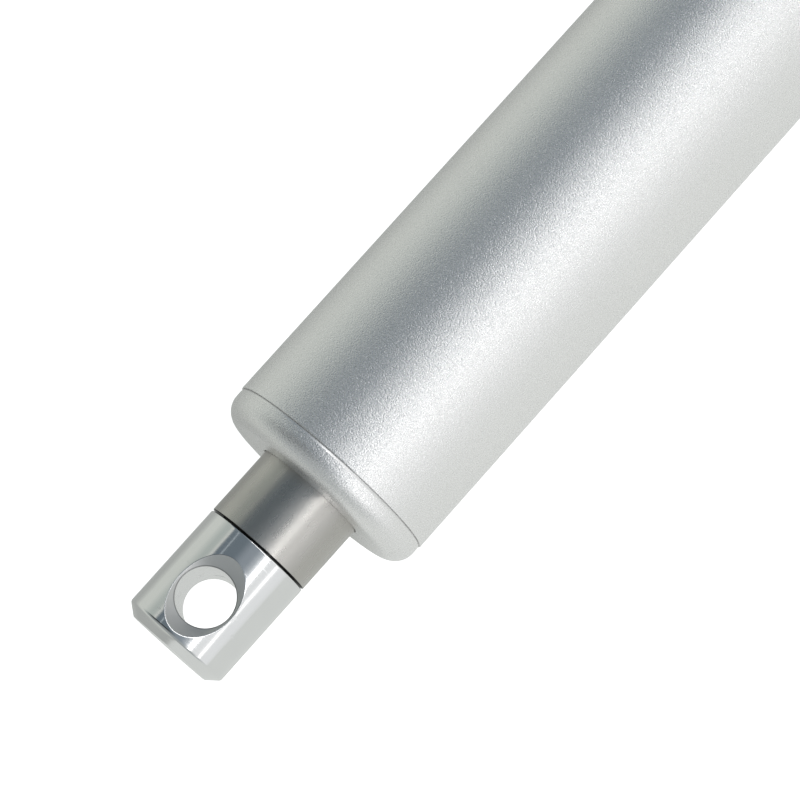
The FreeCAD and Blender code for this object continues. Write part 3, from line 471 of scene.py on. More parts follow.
def bump(tree, height, distance, normal=None):
    """Normal of a bump of that height in metres."""
    values = {"Height": height, "Distance": distance, "Strength": 1.0}
    if normal is not None:
        values["Normal"] = normal
    return node(tree, "ShaderNodeBump", values).outputs["Normal"]


def new_material(name):
    """Material with a plain shader, and its tree and shader."""
    material = bpy.data.materials.new(name)
    material.use_nodes = True
    tree = material.node_tree
    return material, tree, next(n for n in tree.nodes if n.type == "BSDF_PRINCIPLED")


def opaque(rgb):
    """Colour with full alpha."""
    return (*rgb, 1.0)


# Finishes

def marked(tree, name):
    """Value of a face attribute; faces without it read as nought."""
    return node(tree, "ShaderNodeAttribute", attribute_name=name).outputs["Fac"]


def dimmed(tree, rgb, amount):
    """Colour darkened by an amount from nought to one."""
    return scaled(tree, rgb, maths(tree, "SUBTRACT", 1.0, amount))


def blasted_aluminium(name):
    """Bead-blasted, clear anodised aluminium: soft reflections broken up by a fine grain, with rare dark specks
    and painted shade in the seam; plain where it was turned afterwards."""
    material, tree, shader = new_material(name)
    base = bpy.context.scene.actuator_colours.blasted
    grain = shared(tree, "Grain", {"Frequency": (8000.0, 8000.0, 8000.0), "Detail": 2.0})
    specks = shared(tree, "Scuffs", {"Frequency": (900.0, 900.0, 900.0), "Threshold": 0.8})
    tone = shared(tree, "Mottle", {"Colour": opaque(base), "Frequency": 120.0, "Amount": 0.03})
    tone = shared(tree, "Mottle", {"Colour": tone, "Frequency": 9000.0, "Amount": 0.11})
    relief = maths(tree, "MULTIPLY", grain, inverse(tree, marked(tree, "turned")))
    fill(tree, shader, {
        # Base colour darkened by the rare specks, and by painted shade on the faces in the seam
        "Base Color": dimmed(tree, tone, raised(tree, marked(tree, "shade"), specks, by=0.25)),
        "Metallic": 0.76,
        "Roughness": ranged(tree, grain, *NOISE_RANGE, to_low=0.25, to_high=0.31),
        "Normal": bump(tree, relief, distance=0.041 * MM),
    })
    return material


def ground_steel(name):
    """Ground stainless steel: soft reflections with faint streaks along the rod, and painted shade in its
    recess.
    """
    material, tree, shader = new_material(name)
    base = bpy.context.scene.actuator_colours.ground
    streaks = shared(tree, "Grain", {"Frequency": (500.0, 1500.0, 1500.0), "Detail": 2.0})
    scuffs = shared(tree, "Scuffs", {"Frequency": (700.0, 1800.0, 1800.0), "Threshold": 0.72})
    tone = shared(tree, "Mottle", {"Colour": opaque(base), "Frequency": 260.0, "Amount": 0.12})
    rough = ranged(tree, streaks, *NOISE_RANGE, to_low=0.26, to_high=0.30)
    fill(tree, shader, {
        # Base colour darkened by painted shade on the rod's front face
        "Base Color": dimmed(tree, tone, marked(tree, "shade")),
        "Metallic": 1.0,
        "Roughness": raised(tree, rough, scuffs, by=0.2),
        "Normal": bump(tree, streaks, distance=0.0014 * MM),
    })
    return material


def bright_aluminium(name):
    """Bright turned aluminium: crisp reflections, slightly wavy, over faint turning marks; duller where it is
    drilled, and darkened by painted shade in its recess, its countersinks and the ring at the hole's edge."""
    material, tree, shader = new_material(name)
    base = bpy.context.scene.actuator_colours.bright
    waves = shared(tree, "Grain", {"Frequency": (260.0, 420.0, 420.0), "Detail": 1.0})
    scuffs = shared(tree, "Scuffs", {"Frequency": (1600.0, 600.0, 600.0), "Threshold": 0.72})
    tone = shared(tree, "Mottle", {"Colour": opaque(base), "Frequency": 350.0, "Amount": 0.06})
    drilled = marked(tree, "drilled")
    marks = shared(tree, "Turning marks", {"Frequency": 9000.0})
    rings = maths(tree, "MULTIPLY", marks, inverse(tree, drilled))
    rough = ranged(tree, rings, *NOISE_RANGE, to_low=0.08, to_high=0.13)
    rough = raised(tree, rough, scuffs, by=0.15)
    fill(tree, shader, {
        # Base colour darkened by painted shade on the shoulder, the countersinks and the ring at the hole's
        # edge
        "Base Color": dimmed(tree, tone, marked(tree, "shade")),
        "Metallic": raised(tree, 1.0, drilled, by=-0.1),
        "Roughness": raised(tree, rough, drilled, by=0.15),
        "Normal": bump(tree, rings, distance=0.0006 * MM, normal=bump(tree, waves, distance=0.012 * MM)),
    })
    return material


class Look(NamedTuple):
    """An inner finish: grain frequencies a metre along X and across, bump height and change of colour."""
    metallic: float
    roughness: float
    along: float
    across: float
    height: float
    mottle: float


INNER = {
    "black_rubber": Look(0.0, 0.68, 2200.0, 2200.0, 0.012 * MM, 0.25),
    "white_acetal": Look(0.0, 0.42, 6000.0, 400.0, 0.003 * MM, 0.06),
    "plated_steel": Look(1.0, 0.30, 900.0, 900.0, 0.004 * MM, 0.12),
    "ferrite": Look(0.0, 0.62, 3500.0, 3500.0, 0.010 * MM, 0.25),
    "dark_plastic": Look(0.0, 0.48, 3000.0, 3000.0, 0.008 * MM, 0.20),
    "bronze": Look(1.0, 0.42, 4500.0, 4500.0, 0.008 * MM, 0.20),
    "brass": Look(1.0, 0.24, 7000.0, 500.0, 0.003 * MM, 0.10),
    "copper": Look(1.0, 0.30, 5000.0, 900.0, 0.010 * MM, 0.15),
    "carbon": Look(0.0, 0.66, 4000.0, 4000.0, 0.008 * MM, 0.25),
    "core_steel": Look(1.0, 0.40, 5000.0, 300.0, 0.010 * MM, 0.15),
    "gear_steel": Look(1.0, 0.28, 900.0, 2600.0, 0.004 * MM, 0.15),
    "turned_steel": Look(1.0, 0.26, 8000.0, 300.0, 0.003 * MM, 0.10),
    "machined_aluminium": Look(1.0, 0.28, 7000.0, 400.0, 0.004 * MM, 0.08),
    "bearing_steel": Look(1.0, 0.10, 1500.0, 1500.0, 0.0006 * MM, 0.05),
    "board_green": Look(0.0, 0.36, 900.0, 900.0, 0.004 * MM, 0.20),
    "red_button": Look(0.0, 0.38, 2500.0, 2500.0, 0.004 * MM, 0.12),
    "lead_insulation": Look(0.0, 0.40, 1200.0, 1200.0, 0.004 * MM, 0.12),
}
ROUGH_SPREAD = 0.2


def inner_finish(name, slot):
    """Finish of a piece inside the tube, after its look."""
    look = INNER[slot]
    material, tree, shader = new_material(name)
    grain = shared(tree, "Grain", {"Frequency": (look.along, look.across, look.across), "Detail": 2.0})
    smooth, rough = (look.roughness * (1 + way * ROUGH_SPREAD) for way in (-1, 1))
    fill(tree, shader, {
        "Base Color": shared(tree, "Mottle", {"Colour": opaque(COLOURS[slot]), "Amount": look.mottle}),
        "Metallic": look.metallic,
        "Roughness": ranged(tree, grain, *NOISE_RANGE, to_low=smooth, to_high=rough),
        "Normal": bump(tree, grain, distance=look.height),
    })
    return material


SHOWN = {"blasted_aluminium": blasted_aluminium, "ground_steel": ground_steel,
         "bright_aluminium": bright_aluminium}


def finish(slot):
    """Material of a slot, made at its first use."""
    name = slot + "_finish"
    if name in bpy.data.materials:
        return bpy.data.materials[name]
    return SHOWN[slot](name) if slot in SHOWN else inner_finish(name, slot)


# Pieces

class ACTUATOR_OT_tube(bpy.types.Operator):
    """Outer tube: turned outside, seats for both caps, and a bore with key grooves and a snap ring groove. A
    flat groove floor at the distance d from the axis has the radius d / |cos t| at the angle t"""
    bl_idname = "actuator.tube"
    bl_label = "Outer tube"

    def execute(self, context):
        s = context.scene.actuator_sizes
        rear, seam = span("outer_tube")
        front = seam - s.seam_gap
        cap_rear, _ = span("front_cap")
        seat_front = rear + s.rear_seat
        ring_rear, ring_front = span("tube_snap_ring")
        ring_floor = reach("tube_snap_ring") + s.spigot_play
        sharp = s.edge / 2
        outline = divided(rounded([
            (rear, s.tube_radius, s.edge), (front, s.tube_radius, sharp), (front, s.seat_radius, sharp),
            (cap_rear, s.seat_radius, 0.0), (cap_rear, s.tube_bore, sharp),
            (ring_front, s.tube_bore, 0.0), (ring_front, ring_floor, 0.0),
            (ring_rear, ring_floor, 0.0), (ring_rear, s.tube_bore, 0.0),
            (seat_front, s.tube_bore, sharp), (seat_front, s.seat_radius, 0.0), (rear, s.seat_radius, sharp),
        ]), longest=5 * MM)
        t = turns(s.round_steps)
        groove = np.abs(s.tube_bore * np.sin(t)) <= s.key_half
        floor = np.where(groove, s.key_floor / np.abs(np.cos(t)), 0.0)[None, :]
        r = outline[:, 1][:, None]
        bored = np.where(r < s.seat_radius - s.edge, np.maximum(r, floor), r)
        surface = patch(lathe(outline[:, 0], bored, s.round_steps), wrap_rows=True, wrap_columns=True)
        made = piece("tube", "outer_tube", "housing", [surface])
        x, y, z = centres(made.data)
        # Painted shade: the tube's front face in the seam slit is darkened
        end_face = (x > front - sharp / 4) & (np.hypot(y, z) < s.tube_radius - sharp)
        mark(made.data, "shade", context.scene.actuator_colours.seam_painted_shade * end_face)
        return {"FINISHED"}


class ACTUATOR_OT_front_cap(bpy.types.Operator):
    """Front cap: spigot with a seal groove, flange with a rounded edge, and pockets for bush and wiper"""
    bl_idname = "actuator.front_cap"
    bl_label = "Front cap"

    def execute(self, context):
        s = context.scene.actuator_sizes
        rear, face = span("front_cap")
        _, seam = span("outer_tube")
        wiper_rear, lip = span("rod_wiper")
        seal_rear, seal_front = span("front_seal_ring")
        seal = (seal_rear + seal_front) / 2
        groove_rear, groove_front = seal - s.seal_half, seal + s.seal_half
        groove_floor = reach("front_seal_ring") - (seal_front - seal_rear)
        spigot = s.seat_radius - s.spigot_play
        hole = s.rod_radius + s.rod_play
        bush, wiper = (reach(n) + s.spigot_play for n in ("guide_bush", "rod_wiper"))
        fine = s.edge / 2
        lip_low = s.cap_radius - s.seam_depth
        outline = divided(rounded([
            (rear, spigot, 2 * s.edge), (groove_rear, spigot, fine), (groove_rear, groove_floor, fine),
            (groove_front, groove_floor, fine), (groove_front, spigot, fine), (seam, spigot, 0.0),
            (seam, lip_low, 0.0), (seam + s.seam_length, s.cap_radius, 2 * s.edge),
            (face, s.cap_radius, s.cap_round), (face, hole, s.edge), (lip, hole, fine),
            (lip, wiper, 0.0), (wiper_rear, wiper, fine), (wiper_rear, bush, 0.0), (rear, bush, fine),
        ]), longest=3 * MM)
        made = piece("front_end_cap", "front_cap", "housing", [turned(outline, s.round_steps)])
        x, y, z = centres(made.data)
        r = np.hypot(y, z)
        # Painted shade: the cap's rear face in the seam slit is darkened
        rear_face = (np.abs(x - seam) < fine / 4) & (r > spigot) & (r < lip_low)
        mark(made.data, "turned", (x > seam) & (x < seam + s.seam_length) & (r > lip_low))
        mark(made.data, "shade", context.scene.actuator_colours.seam_painted_shade * rear_face)
        return {"FINISHED"}


class ACTUATOR_OT_rear_cap(bpy.types.Operator):
    """Rear cap with its eye, as a merged copy of its CAD mesh"""
    bl_idname = "actuator.rear_cap"
    bl_label = "Rear cap"

    def execute(self, context):
        mesh = frame["nodes"]["rear_cap"].data.copy()
        merge(mesh, outward=False)
        made = shown("rear_end_cap", mesh, "rear_cap", "housing")
        made.modifiers.new("Flat faces", "WEIGHTED_NORMAL").keep_sharp = True
        return {"FINISHED"}


class ACTUATOR_OT_rod(bpy.types.Operator):
    """Rod: a plain ground tube"""
    bl_idname = "actuator.rod"
    bl_label = "Rod"

    def execute(self, context):
        s = context.scene.actuator_sizes
        rear, front = span("rod_tube")
        outline = rounded([(rear, s.rod_radius, s.rod_edge), (front, s.rod_radius, s.rod_edge),
                           (front, s.rod_bore, s.rod_edge), (rear, s.rod_bore, s.rod_edge)])
        made = piece("rod", "rod_tube", "rod", [turned(divided(outline, longest=5 * MM), s.round_steps)])
        x, _, _ = centres(made.data)
        # Painted shade: the rod's front face in the gap to the rod end is darkened
        mark(made.data, "shade", context.scene.actuator_colours.rod_painted_shade * (x > front - s.rod_edge / 2))
        return {"FINISHED"}


# Room for the softened edge at the rod end's tip, in times the edge's own length
TIP_ROOM = 1.3
# Angle from which the rod end's edges are softened
SOFT_ANGLE = math.radians(25.0)
# Rows of points up the hole, the cone, the softened edge and the cylinder, and how the last ones crowd
HOLE_ROWS, CONE_ROWS, SOFT_ROWS, SKIN_ROWS = 13, 5, 7, 15
SKIN_CROWDING = 1.3


def sink_line(s):
    """Countersinks' height above the axis: a start, and a slope over the distance from the hole's axis."""
    slope = 1.0 / math.tan(s.sink_angle / 2)
    return s.rod_radius - slope * s.sink_mouth, slope


def half_edge(s, start, stop, eye):
    """Edge of one half of the rod end's cylinder, unrolled as (x, arc): along the chamfer, back, along the
    shoulder and forward, point by point, with the angle of each point seen from the hole's centre."""
    half_steps = s.round_steps // 2
    length_steps = half_steps // 4
    quarter = s.rod_radius * math.pi / 2
    across = np.linspace(-quarter, quarter, half_steps + 1)
    along = np.linspace(start, stop, length_steps + 1)
    edge = np.concatenate([
        np.stack([np.full(half_steps, stop), across[:-1]], axis=-1),
        np.stack([along[::-1][:-1], np.full(length_steps, quarter)], axis=-1),
        np.stack([np.full(half_steps, start), across[::-1][:-1]], axis=-1),
        np.stack([along[:-1], np.full(length_steps, -quarter)], axis=-1),
    ])
    return edge, np.arctan2(edge[:, 1], edge[:, 0] - eye)


def hole_wall(s, angle, eye):
    """Wall of the cross hole between both countersinks: points (e + r cos a, r sin a, h) for heights h and
    angles a about the hole's axis at x = e."""
    lift, slope = sink_line(s)
    foot = lift + slope * s.eye_radius
    heights = np.linspace(-foot, foot, HOLE_ROWS)[:, None]
    x, y = eye + s.eye_radius * np.cos(angle), s.eye_radius * np.sin(angle)
    return np.stack(np.broadcast_arrays(x, y, heights), axis=-1)


def eye_side(s, edge, angle, eye, side):
    """One half of the rod end's cylinder with its countersink, as rings round the hole: from the hole's wall
    straight up the cone, over a softened edge, then out over the cylinder to the half's edge. Cone and
    cylinder meet at the distance a from the hole's axis where the cone's height c + k a equals the
    cylinder's height; the softened edge is the parabola that touches both, with its control point there."""
    c, k = sink_line(s)
    spread = k ** 2 + np.sin(angle) ** 2
    mouth = (-c * k + np.sqrt((c * k) ** 2 + spread * (s.rod_radius ** 2 - c ** 2))) / spread
    rim = np.stack([eye + mouth * np.cos(angle),
                    s.rod_radius * np.arcsin(mouth * np.sin(angle) / s.rod_radius)], axis=-1)

    def cone(away):
        return np.stack([eye + away * np.cos(angle), away * np.sin(angle), c + k * away], axis=-1)

    def skin(share):
        flat = rim + (edge - rim) * share[..., None]
        turn = flat[..., 1] / s.rod_radius
        return np.stack([flat[..., 0], s.rod_radius * np.sin(turn), s.rod_radius * np.cos(turn)], axis=-1)

    inside, outside = s.eye_radius + s.hole_ring, mouth - s.sink_soft
    away = np.concatenate([np.full((1, len(angle)), s.eye_radius),
                           inside + (outside - inside) * np.linspace(0.0, 1.0, CONE_ROWS)[:, None]])
    first = np.minimum(s.sink_soft / np.linalg.norm(edge - rim, axis=-1), 0.5)
    share = first + (1.0 - first) * np.linspace(0.0, 1.0, SKIN_ROWS)[:, None] ** SKIN_CROWDING
    t = np.linspace(0.0, 1.0, SOFT_ROWS)[1:-1, None, None]
    soft = (1.0 - t) ** 2 * cone(outside) + 2.0 * t * (1.0 - t) * cone(mouth) + t ** 2 * skin(first)
    return np.concatenate([cone(away), soft, skin(share)]) * (1.0, 1.0, side)


class ACTUATOR_OT_rod_end(bpy.types.Operator):
    """Rod end: spigot, cylinder, chamfered tip, and a cross hole with a countersink at both mouths"""
    bl_idname = "actuator.rod_end"
    bl_label = "Rod end"

    def execute(self, context):
        s, colours = context.scene.actuator_sizes, context.scene.actuator_colours
        rear, tip = span("rod_end")
        _, rod_front = span("rod_tube")
        eye = MOUNTS["front_eye"]["pos_m"][0]
        shoulder = rod_front + s.rod_gap
        spigot = s.rod_bore - s.spigot_play
        start, chamfer = shoulder + 2 * s.edge, tip - s.tip_length
        stop = chamfer - TIP_ROOM * s.tip_soft * math.tan(math.atan2(s.tip_depth, s.tip_length) / 2)
        back = rounded([(rear, 0.0, 0.0), (rear, spigot, 2 * s.edge), (shoulder, spigot, 0.0),
                        (shoulder, s.rod_radius, s.edge), (start, s.rod_radius, 0.0)], wrap=False)
        nose = rounded([(stop, s.rod_radius, 0.0), (chamfer, s.rod_radius, s.tip_soft),
                        (tip, s.rod_radius - s.tip_depth, s.edge), (tip, 0.0, 0.0)], wrap=False)
        surfaces = [turned(divided(back, longest=2 * MM, wrap=False), s.round_steps, wrap=False),
                    turned(divided(nose, longest=0.6 * MM, wrap=False), s.round_steps, wrap=False)]
        edge, angle = half_edge(s, start, stop, eye)
        for side in (1.0, -1.0):
            surfaces.append(patch(eye_side(s, edge, angle, eye, side), wrap_columns=True))
        surfaces.append(patch(hole_wall(s, angle, eye), wrap_columns=True))
        made = piece("rod_eye_end", "rod_end", "rod", surfaces)
        x, y, z = centres(made.data)
        away = np.hypot(x - eye, y)
        lift, slope = sink_line(s)
        wall = away < s.eye_radius
        cone = ~wall & (np.abs(z) > lift + slope * away - s.edge / 20)
        ring = cone & (away < s.eye_radius + s.hole_ring)
        # Painted shade: the shoulder face in the gap, the countersinks and the ring at the hole's edge are
        # darkened
        face = x < shoulder + s.edge / 3
        mark(made.data, "drilled", wall + colours.sink_dull * cone)
        mark(made.data, "shade",
             colours.shoulder_painted_shade * face + colours.sink_painted_shade * cone + colours.ring_painted_shade * ring)
        soft = made.modifiers.new("Soft edges", "BEVEL")
        soft.width, soft.segments = s.end_soft, 3
        soft.limit_method, soft.angle_limit = "ANGLE", SOFT_ANGLE
        return {"FINISHED"}


class ACTUATOR_OT_grommet(bpy.types.Operator):
    """Cable grommet in the rear cap"""
    bl_idname = "actuator.grommet"
    bl_label = "Cable grommet"

    def execute(self, context):
        s = context.scene.actuator_sizes
        rear, front = span("cable_grommet")
        low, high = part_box("cable_grommet")
        flange, shoulder = (high.y - low.y) / 2, rear + s.grommet_flange
        soft, fine = s.grommet_soft, s.grommet_soft / 4
        outline = rounded([
            (rear, s.grommet_bore, soft), (rear, flange, soft), (shoulder, flange, fine),
            (shoulder, s.grommet_shank, 0.0), (front, s.grommet_shank, soft), (front, s.grommet_bore, fine)])
        points, faces = turned(divided(outline, longest=0.8 * MM), steps=64)
        piece("grommet", "cable_grommet", "housing", [(points + (0.0, 0.0, (low.z + high.z) / 2), faces)])
        return {"FINISHED"}


# Share of half a pitch that the thread's crest takes up, and each of its flanks
THREAD_SHARE = 0.35


def thread_radius(s, x, t):
    """Radius of the screw's thread at x and the angle t: the phase n (x / lead - t / full turn) of n starts,
    folded to a triangle wave, cut flat at crest and root, and faded out over one lead at both ends."""
    phase = s.thread_starts * (x[:, None] / s.thread_lead - t[None, :] / (2 * math.pi))
    wave = np.abs((phase % 1.0) * 2.0 - 1.0)
    cut = np.clip((wave - THREAD_SHARE) / THREAD_SHARE, 0.0, 1.0)
    fade = np.clip(np.minimum(x - x[0], x[-1] - x) / s.thread_lead, 0.0, 1.0)[:, None]
    return s.thread_crest - s.thread_depth * cut * fade


class ACTUATOR_OT_lead_screw(bpy.types.Operator):
    """Lead screw: journals, collar and a right-hand thread with two starts that fades out at both ends"""
    bl_idname = "actuator.lead_screw"
    bl_label = "Lead screw"

    def execute(self, context):
        s = context.scene.actuator_sizes
        rear, front = span("lead_screw")
        clip_rear, clip_front = span("screw_circlip")
        _, bearing_front = span("bearing_inner_ring")
        journal_rear = span("shaft_coupling")[1] + s.coupling_gap
        thread_front, _ = span("screw_tip_bush")
        thread_rear = bearing_front + s.collar_length
        back = np.array([(rear, 0.0), (rear, s.screw_stub), (journal_rear, s.screw_stub),
                         (journal_rear, s.screw_journal), (clip_rear, s.screw_journal),
                         (clip_rear, s.screw_groove), (clip_front, s.screw_groove),
                         (clip_front, s.screw_journal), (bearing_front, s.screw_journal),
                         (bearing_front, s.screw_collar), (thread_rear, s.screw_collar)])
        nose = np.array([(thread_front, s.screw_stub), (front, s.screw_stub), (front, 0.0)])
        rows, steps = 850, 48
        x = np.linspace(thread_rear, thread_front, rows)
        plain = [np.repeat(end[:, 1:], steps, axis=1) for end in (back, nose)]
        radii = np.concatenate([plain[0], thread_radius(s, x, turns(steps)), plain[1]])
        grid = lathe(np.concatenate([back[:, 0], x, nose[:, 0]]), radii, steps)
        piece("screw", "lead_screw", "screw", [patch(grid, wrap_columns=True)])
        return {"FINISHED"}


class ACTUATOR_OT_finishes(bpy.types.Operator):
    """Finishes of the CAD pieces that are shown as they are"""
    bl_idname = "actuator.finishes"
    bl_label = "Inner finishes"

    def execute(self, context):
        for name, shape in frame["nodes"].items():
            shape.data.materials.clear()
            shape.data.materials.append(finish(SLOT_OF[name]))
        return {"FINISHED"}


# Stage

# Bands of the surroundings: angles in degrees from overhead towards +Y, with the stage's colours there
ALL_ROUND = (-180.0, 180.0)
KEY_SIDE = ((-3.0, "ceiling_edge"), (9.0, "ceiling_edge"), (21.0, "glow"), (27.5, "halo"),
            (38.0, "right_wall"), (78.0, "right_wall"), (95.0, "floor_right"))
OVERHEAD = ((-90.0, "floor_left"), (-72.0, "left_wall"), (-63.0, "left_wall"), (-58.0, "wall_rim"),
            (-56.0, "wall_rim"), (-53.0, "ceiling"), (-43.4, "ceiling"), (-42.8, "ceiling_gap"),
            (-41.4, "ceiling_gap"), (-40.8, "ceiling"), (-18.0, "ceiling"), *KEY_SIDE)
AHEAD = ((-97.0, "floor_left"), (-87.0, "left_wall"), (-64.0, "ceiling_ahead"), (-24.0, "ceiling_ahead"),
         *KEY_SIDE)
STRIP_FADE = 0.4

# Sine of the angle behind the object up to which the bands run aslant
SLANT_REACH = 0.64
# Angle that the slant is counted from, and shift of all bands, in degrees
SLANT_FROM, SLANT_SHIFT = 4.3, 1.3
# Slants at two angles from overhead
SLANT_ANGLES, SLANTS = (-50.0, 0.0), (0.8, 1.4)

# X parts of a direction between which the bands ahead and both end walls come in
AHEAD_FADE = (0.03, 0.19)
FRONT_FADE = (0.24, 0.82)
REAR_FADE = (-0.75, -0.95)

# Size of the floor and its gap under the tube
FLOOR_HALF = 8.0
FLOOR_GAP = 0.02 * MM

# Painted light and shade along Y for what mirrors the floor, and the place and reach of its painted shade under
# the rod
FLOOR_RANGE = (-500 * MM, 500 * MM)
FLOOR_BANDS = ((-45 * MM, "floor_left"), (-19 * MM, "floor_painted_shade"), (-9 * MM, "floor_painted_shade"),
               (-3 * MM, "floor_right"))
ROD_SHADE_X = 164.5 * MM
ROD_SHADE_FADE = (4 * MM, 9 * MM)


def blank(owner):
    """Empty node tree of a material or a world."""
    owner.use_nodes = True
    owner.node_tree.nodes.clear()
    return owner.node_tree


def ramp(tree, value, limits, stage, stops):
    """Colour of a ramp between two limits of a value, from stops (value, name of a stage colour)."""
    low, high = limits
    made = node(tree, "ShaderNodeValToRGB", {"Fac": ranged(tree, value, low, high, 0.0, 1.0)})
    points = made.color_ramp.elements
    while len(points) < len(stops):
        points.new(1.0)
    for point, (at, name) in zip(points, stops):
        point.position, point.color = (at - low) / (high - low), opaque(getattr(stage, name))
    return made.outputs["Color"]


def mixed(tree, share, first, second):
    """Colour between two colours; a mix node's sockets go by number, because their names repeat."""
    return node(tree, "ShaderNodeMix", {0: share, 6: first, 7: second}, data_type="RGBA").outputs[2]


def strip(tree, angle, middle, width):
    """Mask of a strip light round an angle, with soft edges; in degrees."""
    away = maths(tree, "ABSOLUTE", maths(tree, "SUBTRACT", angle, middle))
    return ranged(tree, away, width / 2 - STRIP_FADE, width / 2 + STRIP_FADE, 1.0, 0.0)


def studio_world(stage):
    """Surroundings in bands by their angle from overhead towards +Y: a wall, a dark ceiling that grows
    lighter towards the key light, two strip lights and a light wall. Behind the object the bands run aslant;
    ahead of it the ceiling is darker, and fades into an end wall. The camera sees a plain backdrop."""
    world = bpy.data.worlds.new("studio")
    tree = blank(world)
    ray = axes(tree, node(tree, "ShaderNodeTexCoord").outputs["Generated"])
    over = maths(tree, "DEGREES", maths(tree, "ARCTAN2", ray["Y"], ray["Z"]))
    back = ranged(tree, ray["X"], -SLANT_REACH, 0.0, -SLANT_REACH, 0.0)
    behind = maths(tree, "DEGREES", maths(tree, "ARCSINE", back))
    slant = ranged(tree, over, *SLANT_ANGLES, *SLANTS)
    aside = maths(tree, "MULTIPLY_ADD", maths(tree, "ADD", behind, SLANT_FROM), slant, SLANT_SHIFT)
    angle = maths(tree, "SUBTRACT", over, aside)
    overhead, ahead = (ramp(tree, angle, ALL_ROUND, stage, stops) for stops in (OVERHEAD, AHEAD))
    bands = mixed(tree, ranged(tree, ray["X"], *AHEAD_FADE, 0.0, 1.0), overhead, ahead)
    for middle, width, strength in ((stage.key_angle, stage.key_width, stage.key_strength),
                                    (stage.rim_angle, stage.rim_width, stage.rim_strength)):
        mask = strip(tree, angle, math.degrees(middle), math.degrees(width))
        bands = mixed(tree, mask, bands, opaque((strength, strength, strength)))
    front, rear = (ranged(tree, ray["X"], *fade, 0.0, 1.0) for fade in (FRONT_FADE, REAR_FADE))
    lit = mixed(tree, maths(tree, "MAXIMUM", front, rear), bands, opaque(stage.end_wall))
    camera = node(tree, "ShaderNodeLightPath").outputs["Is Camera Ray"]
    seen = mixed(tree, camera, lit, opaque(stage.backdrop))
    shade = node(tree, "ShaderNodeBackground", {"Color": seen, "Strength": 1.0}).outputs[0]
    node(tree, "ShaderNodeOutputWorld", {"Surface": shade})
    bpy.context.scene.world = world


def floor_finish(stage):
    """Pale floor: matt with a glow for the camera; for what mirrors it, a glow of painted light, lighter on the
    +Y side, with painted shade beside the tube and under the rod."""
    material = bpy.data.materials.new("pale_floor")
    tree = blank(material)
    matt = node(tree, "ShaderNodeBsdfDiffuse", {"Color": opaque(stage.floor_matt)}).outputs[0]
    values = {"Color": opaque(stage.backdrop), "Strength": stage.floor_lift}
    glow = node(tree, "ShaderNodeEmission", values).outputs[0]
    seen = node(tree, "ShaderNodeAddShader", {0: matt, 1: glow}).outputs[0]
    place = own_place(tree)
    # Painted light and shade for what mirrors the floor: bands along Y, darker just beside the tube, and darker
    # under the rod
    field = ramp(tree, axes(tree, place)["Y"], FLOOR_RANGE, stage, FLOOR_BANDS)
    values = {0: place, 1: (ROD_SHADE_X, 0.0, CAD_BOX[0].z)}
    away = node(tree, "ShaderNodeVectorMath", values, operation="DISTANCE").outputs["Value"]
    painted_shade_under_rod = ranged(tree, away, *ROD_SHADE_FADE, 1.0, 0.0)
    field = mixed(tree, painted_shade_under_rod, field, opaque(stage.floor_painted_shade))
    mirrored = node(tree, "ShaderNodeEmission", {"Color": field, "Strength": 1.0}).outputs[0]
    camera = node(tree, "ShaderNodeLightPath").outputs["Is Camera Ray"]
    shade = node(tree, "ShaderNodeMixShader", {0: camera, 1: mirrored, 2: seen}).outputs[0]
    node(tree, "ShaderNodeOutputMaterial", {"Surface": shade})
    return material


def lay_floor(stage):
    """Floor under the tube."""
    height = CAD_BOX[0].z - FLOOR_GAP
    corners = [(x * FLOOR_HALF, y * FLOOR_HALF, height) for x, y in ((-1, -1), (1, -1), (1, 1), (-1, 1))]
    mesh = bpy.data.meshes.new("floor")
    mesh.from_pydata(corners, [], [(0, 1, 2, 3)])
    mesh.materials.append(floor_finish(stage))
    made = linked("floor", mesh)


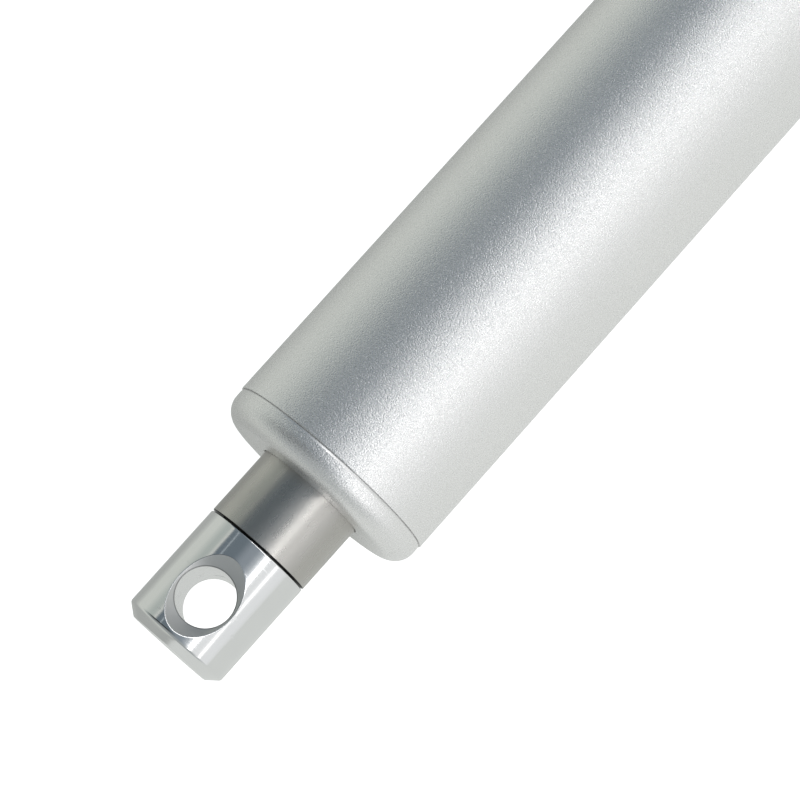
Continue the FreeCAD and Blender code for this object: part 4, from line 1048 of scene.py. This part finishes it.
def place_camera(stage):
    """Camera over the front end, rolled so that the tube's axis lies in the picture at its angle."""
    place = Vector(stage.camera_place)
    ahead = (Vector(stage.camera_aim) - place).normalized()
    along = Vector((1.0, 0.0, 0.0))
    along = (along - ahead * along.dot(ahead)).normalized()
    across = along.cross(ahead)
    right = along * math.cos(stage.axis_angle) - across * math.sin(stage.axis_angle)
    up = along * math.sin(stage.axis_angle) + across * math.cos(stage.axis_angle)
    camera = bpy.data.cameras.new("camera")
    camera.lens = stage.lens
    made = linked("camera", camera)
    made.matrix_world = Matrix((right, up, -ahead)).transposed().to_4x4()
    made.location = place
    bpy.context.scene.camera = made


class ACTUATOR_OT_stage(bpy.types.Operator):
    """Floor, surroundings with strip lights, and camera"""
    bl_idname = "actuator.stage"
    bl_label = "Stage and camera"

    def execute(self, context):
        stage = context.scene.actuator_stage
        context.scene.view_settings.view_transform = "Standard"
        studio_world(stage)
        lay_floor(stage)
        place_camera(stage)
        return {"FINISHED"}


class ACTUATOR_PT_panel(bpy.types.Panel):
    """Actuator pieces, sizes and colours"""
    bl_label = "Linear actuator"
    bl_space_type = "VIEW_3D"
    bl_region_type = "UI"
    bl_category = "Actuator"

    def draw(self, context):
        for operator in OPERATORS:
            self.layout.operator(operator.bl_idname)
        for name in SETTINGS:
            group, box = getattr(context.scene, name), self.layout.box()
            for key in group.__annotations__:
                box.prop(group, key)


SETTINGS = {"actuator_sizes": ActuatorSizes, "actuator_colours": ActuatorColours,
            "actuator_stage": ActuatorStage}
OPERATORS = (ACTUATOR_OT_tube, ACTUATOR_OT_front_cap, ACTUATOR_OT_rear_cap, ACTUATOR_OT_rod,
             ACTUATOR_OT_rod_end, ACTUATOR_OT_grommet, ACTUATOR_OT_lead_screw, ACTUATOR_OT_finishes,
             ACTUATOR_OT_stage)
CLASSES = (*SETTINGS.values(), *OPERATORS, ACTUATOR_PT_panel)


def register():
    for made in CLASSES:
        bpy.utils.register_class(made)
    for name, group in SETTINGS.items():
        setattr(bpy.types.Scene, name, PointerProperty(type=group))


def unregister():
    for name in SETTINGS:
        delattr(bpy.types.Scene, name)
    for made in reversed(CLASSES):
        bpy.utils.unregister_class(made)


def main():
    register()
    bpy.ops.actuator.tube()
    bpy.ops.actuator.front_cap()
    bpy.ops.actuator.rear_cap()
    bpy.ops.actuator.rod()
    bpy.ops.actuator.rod_end()
    bpy.ops.actuator.grommet()
    bpy.ops.actuator.lead_screw()
    bpy.ops.actuator.finishes()
    bpy.ops.actuator.stage()


if __name__ == "__main__":
    main()
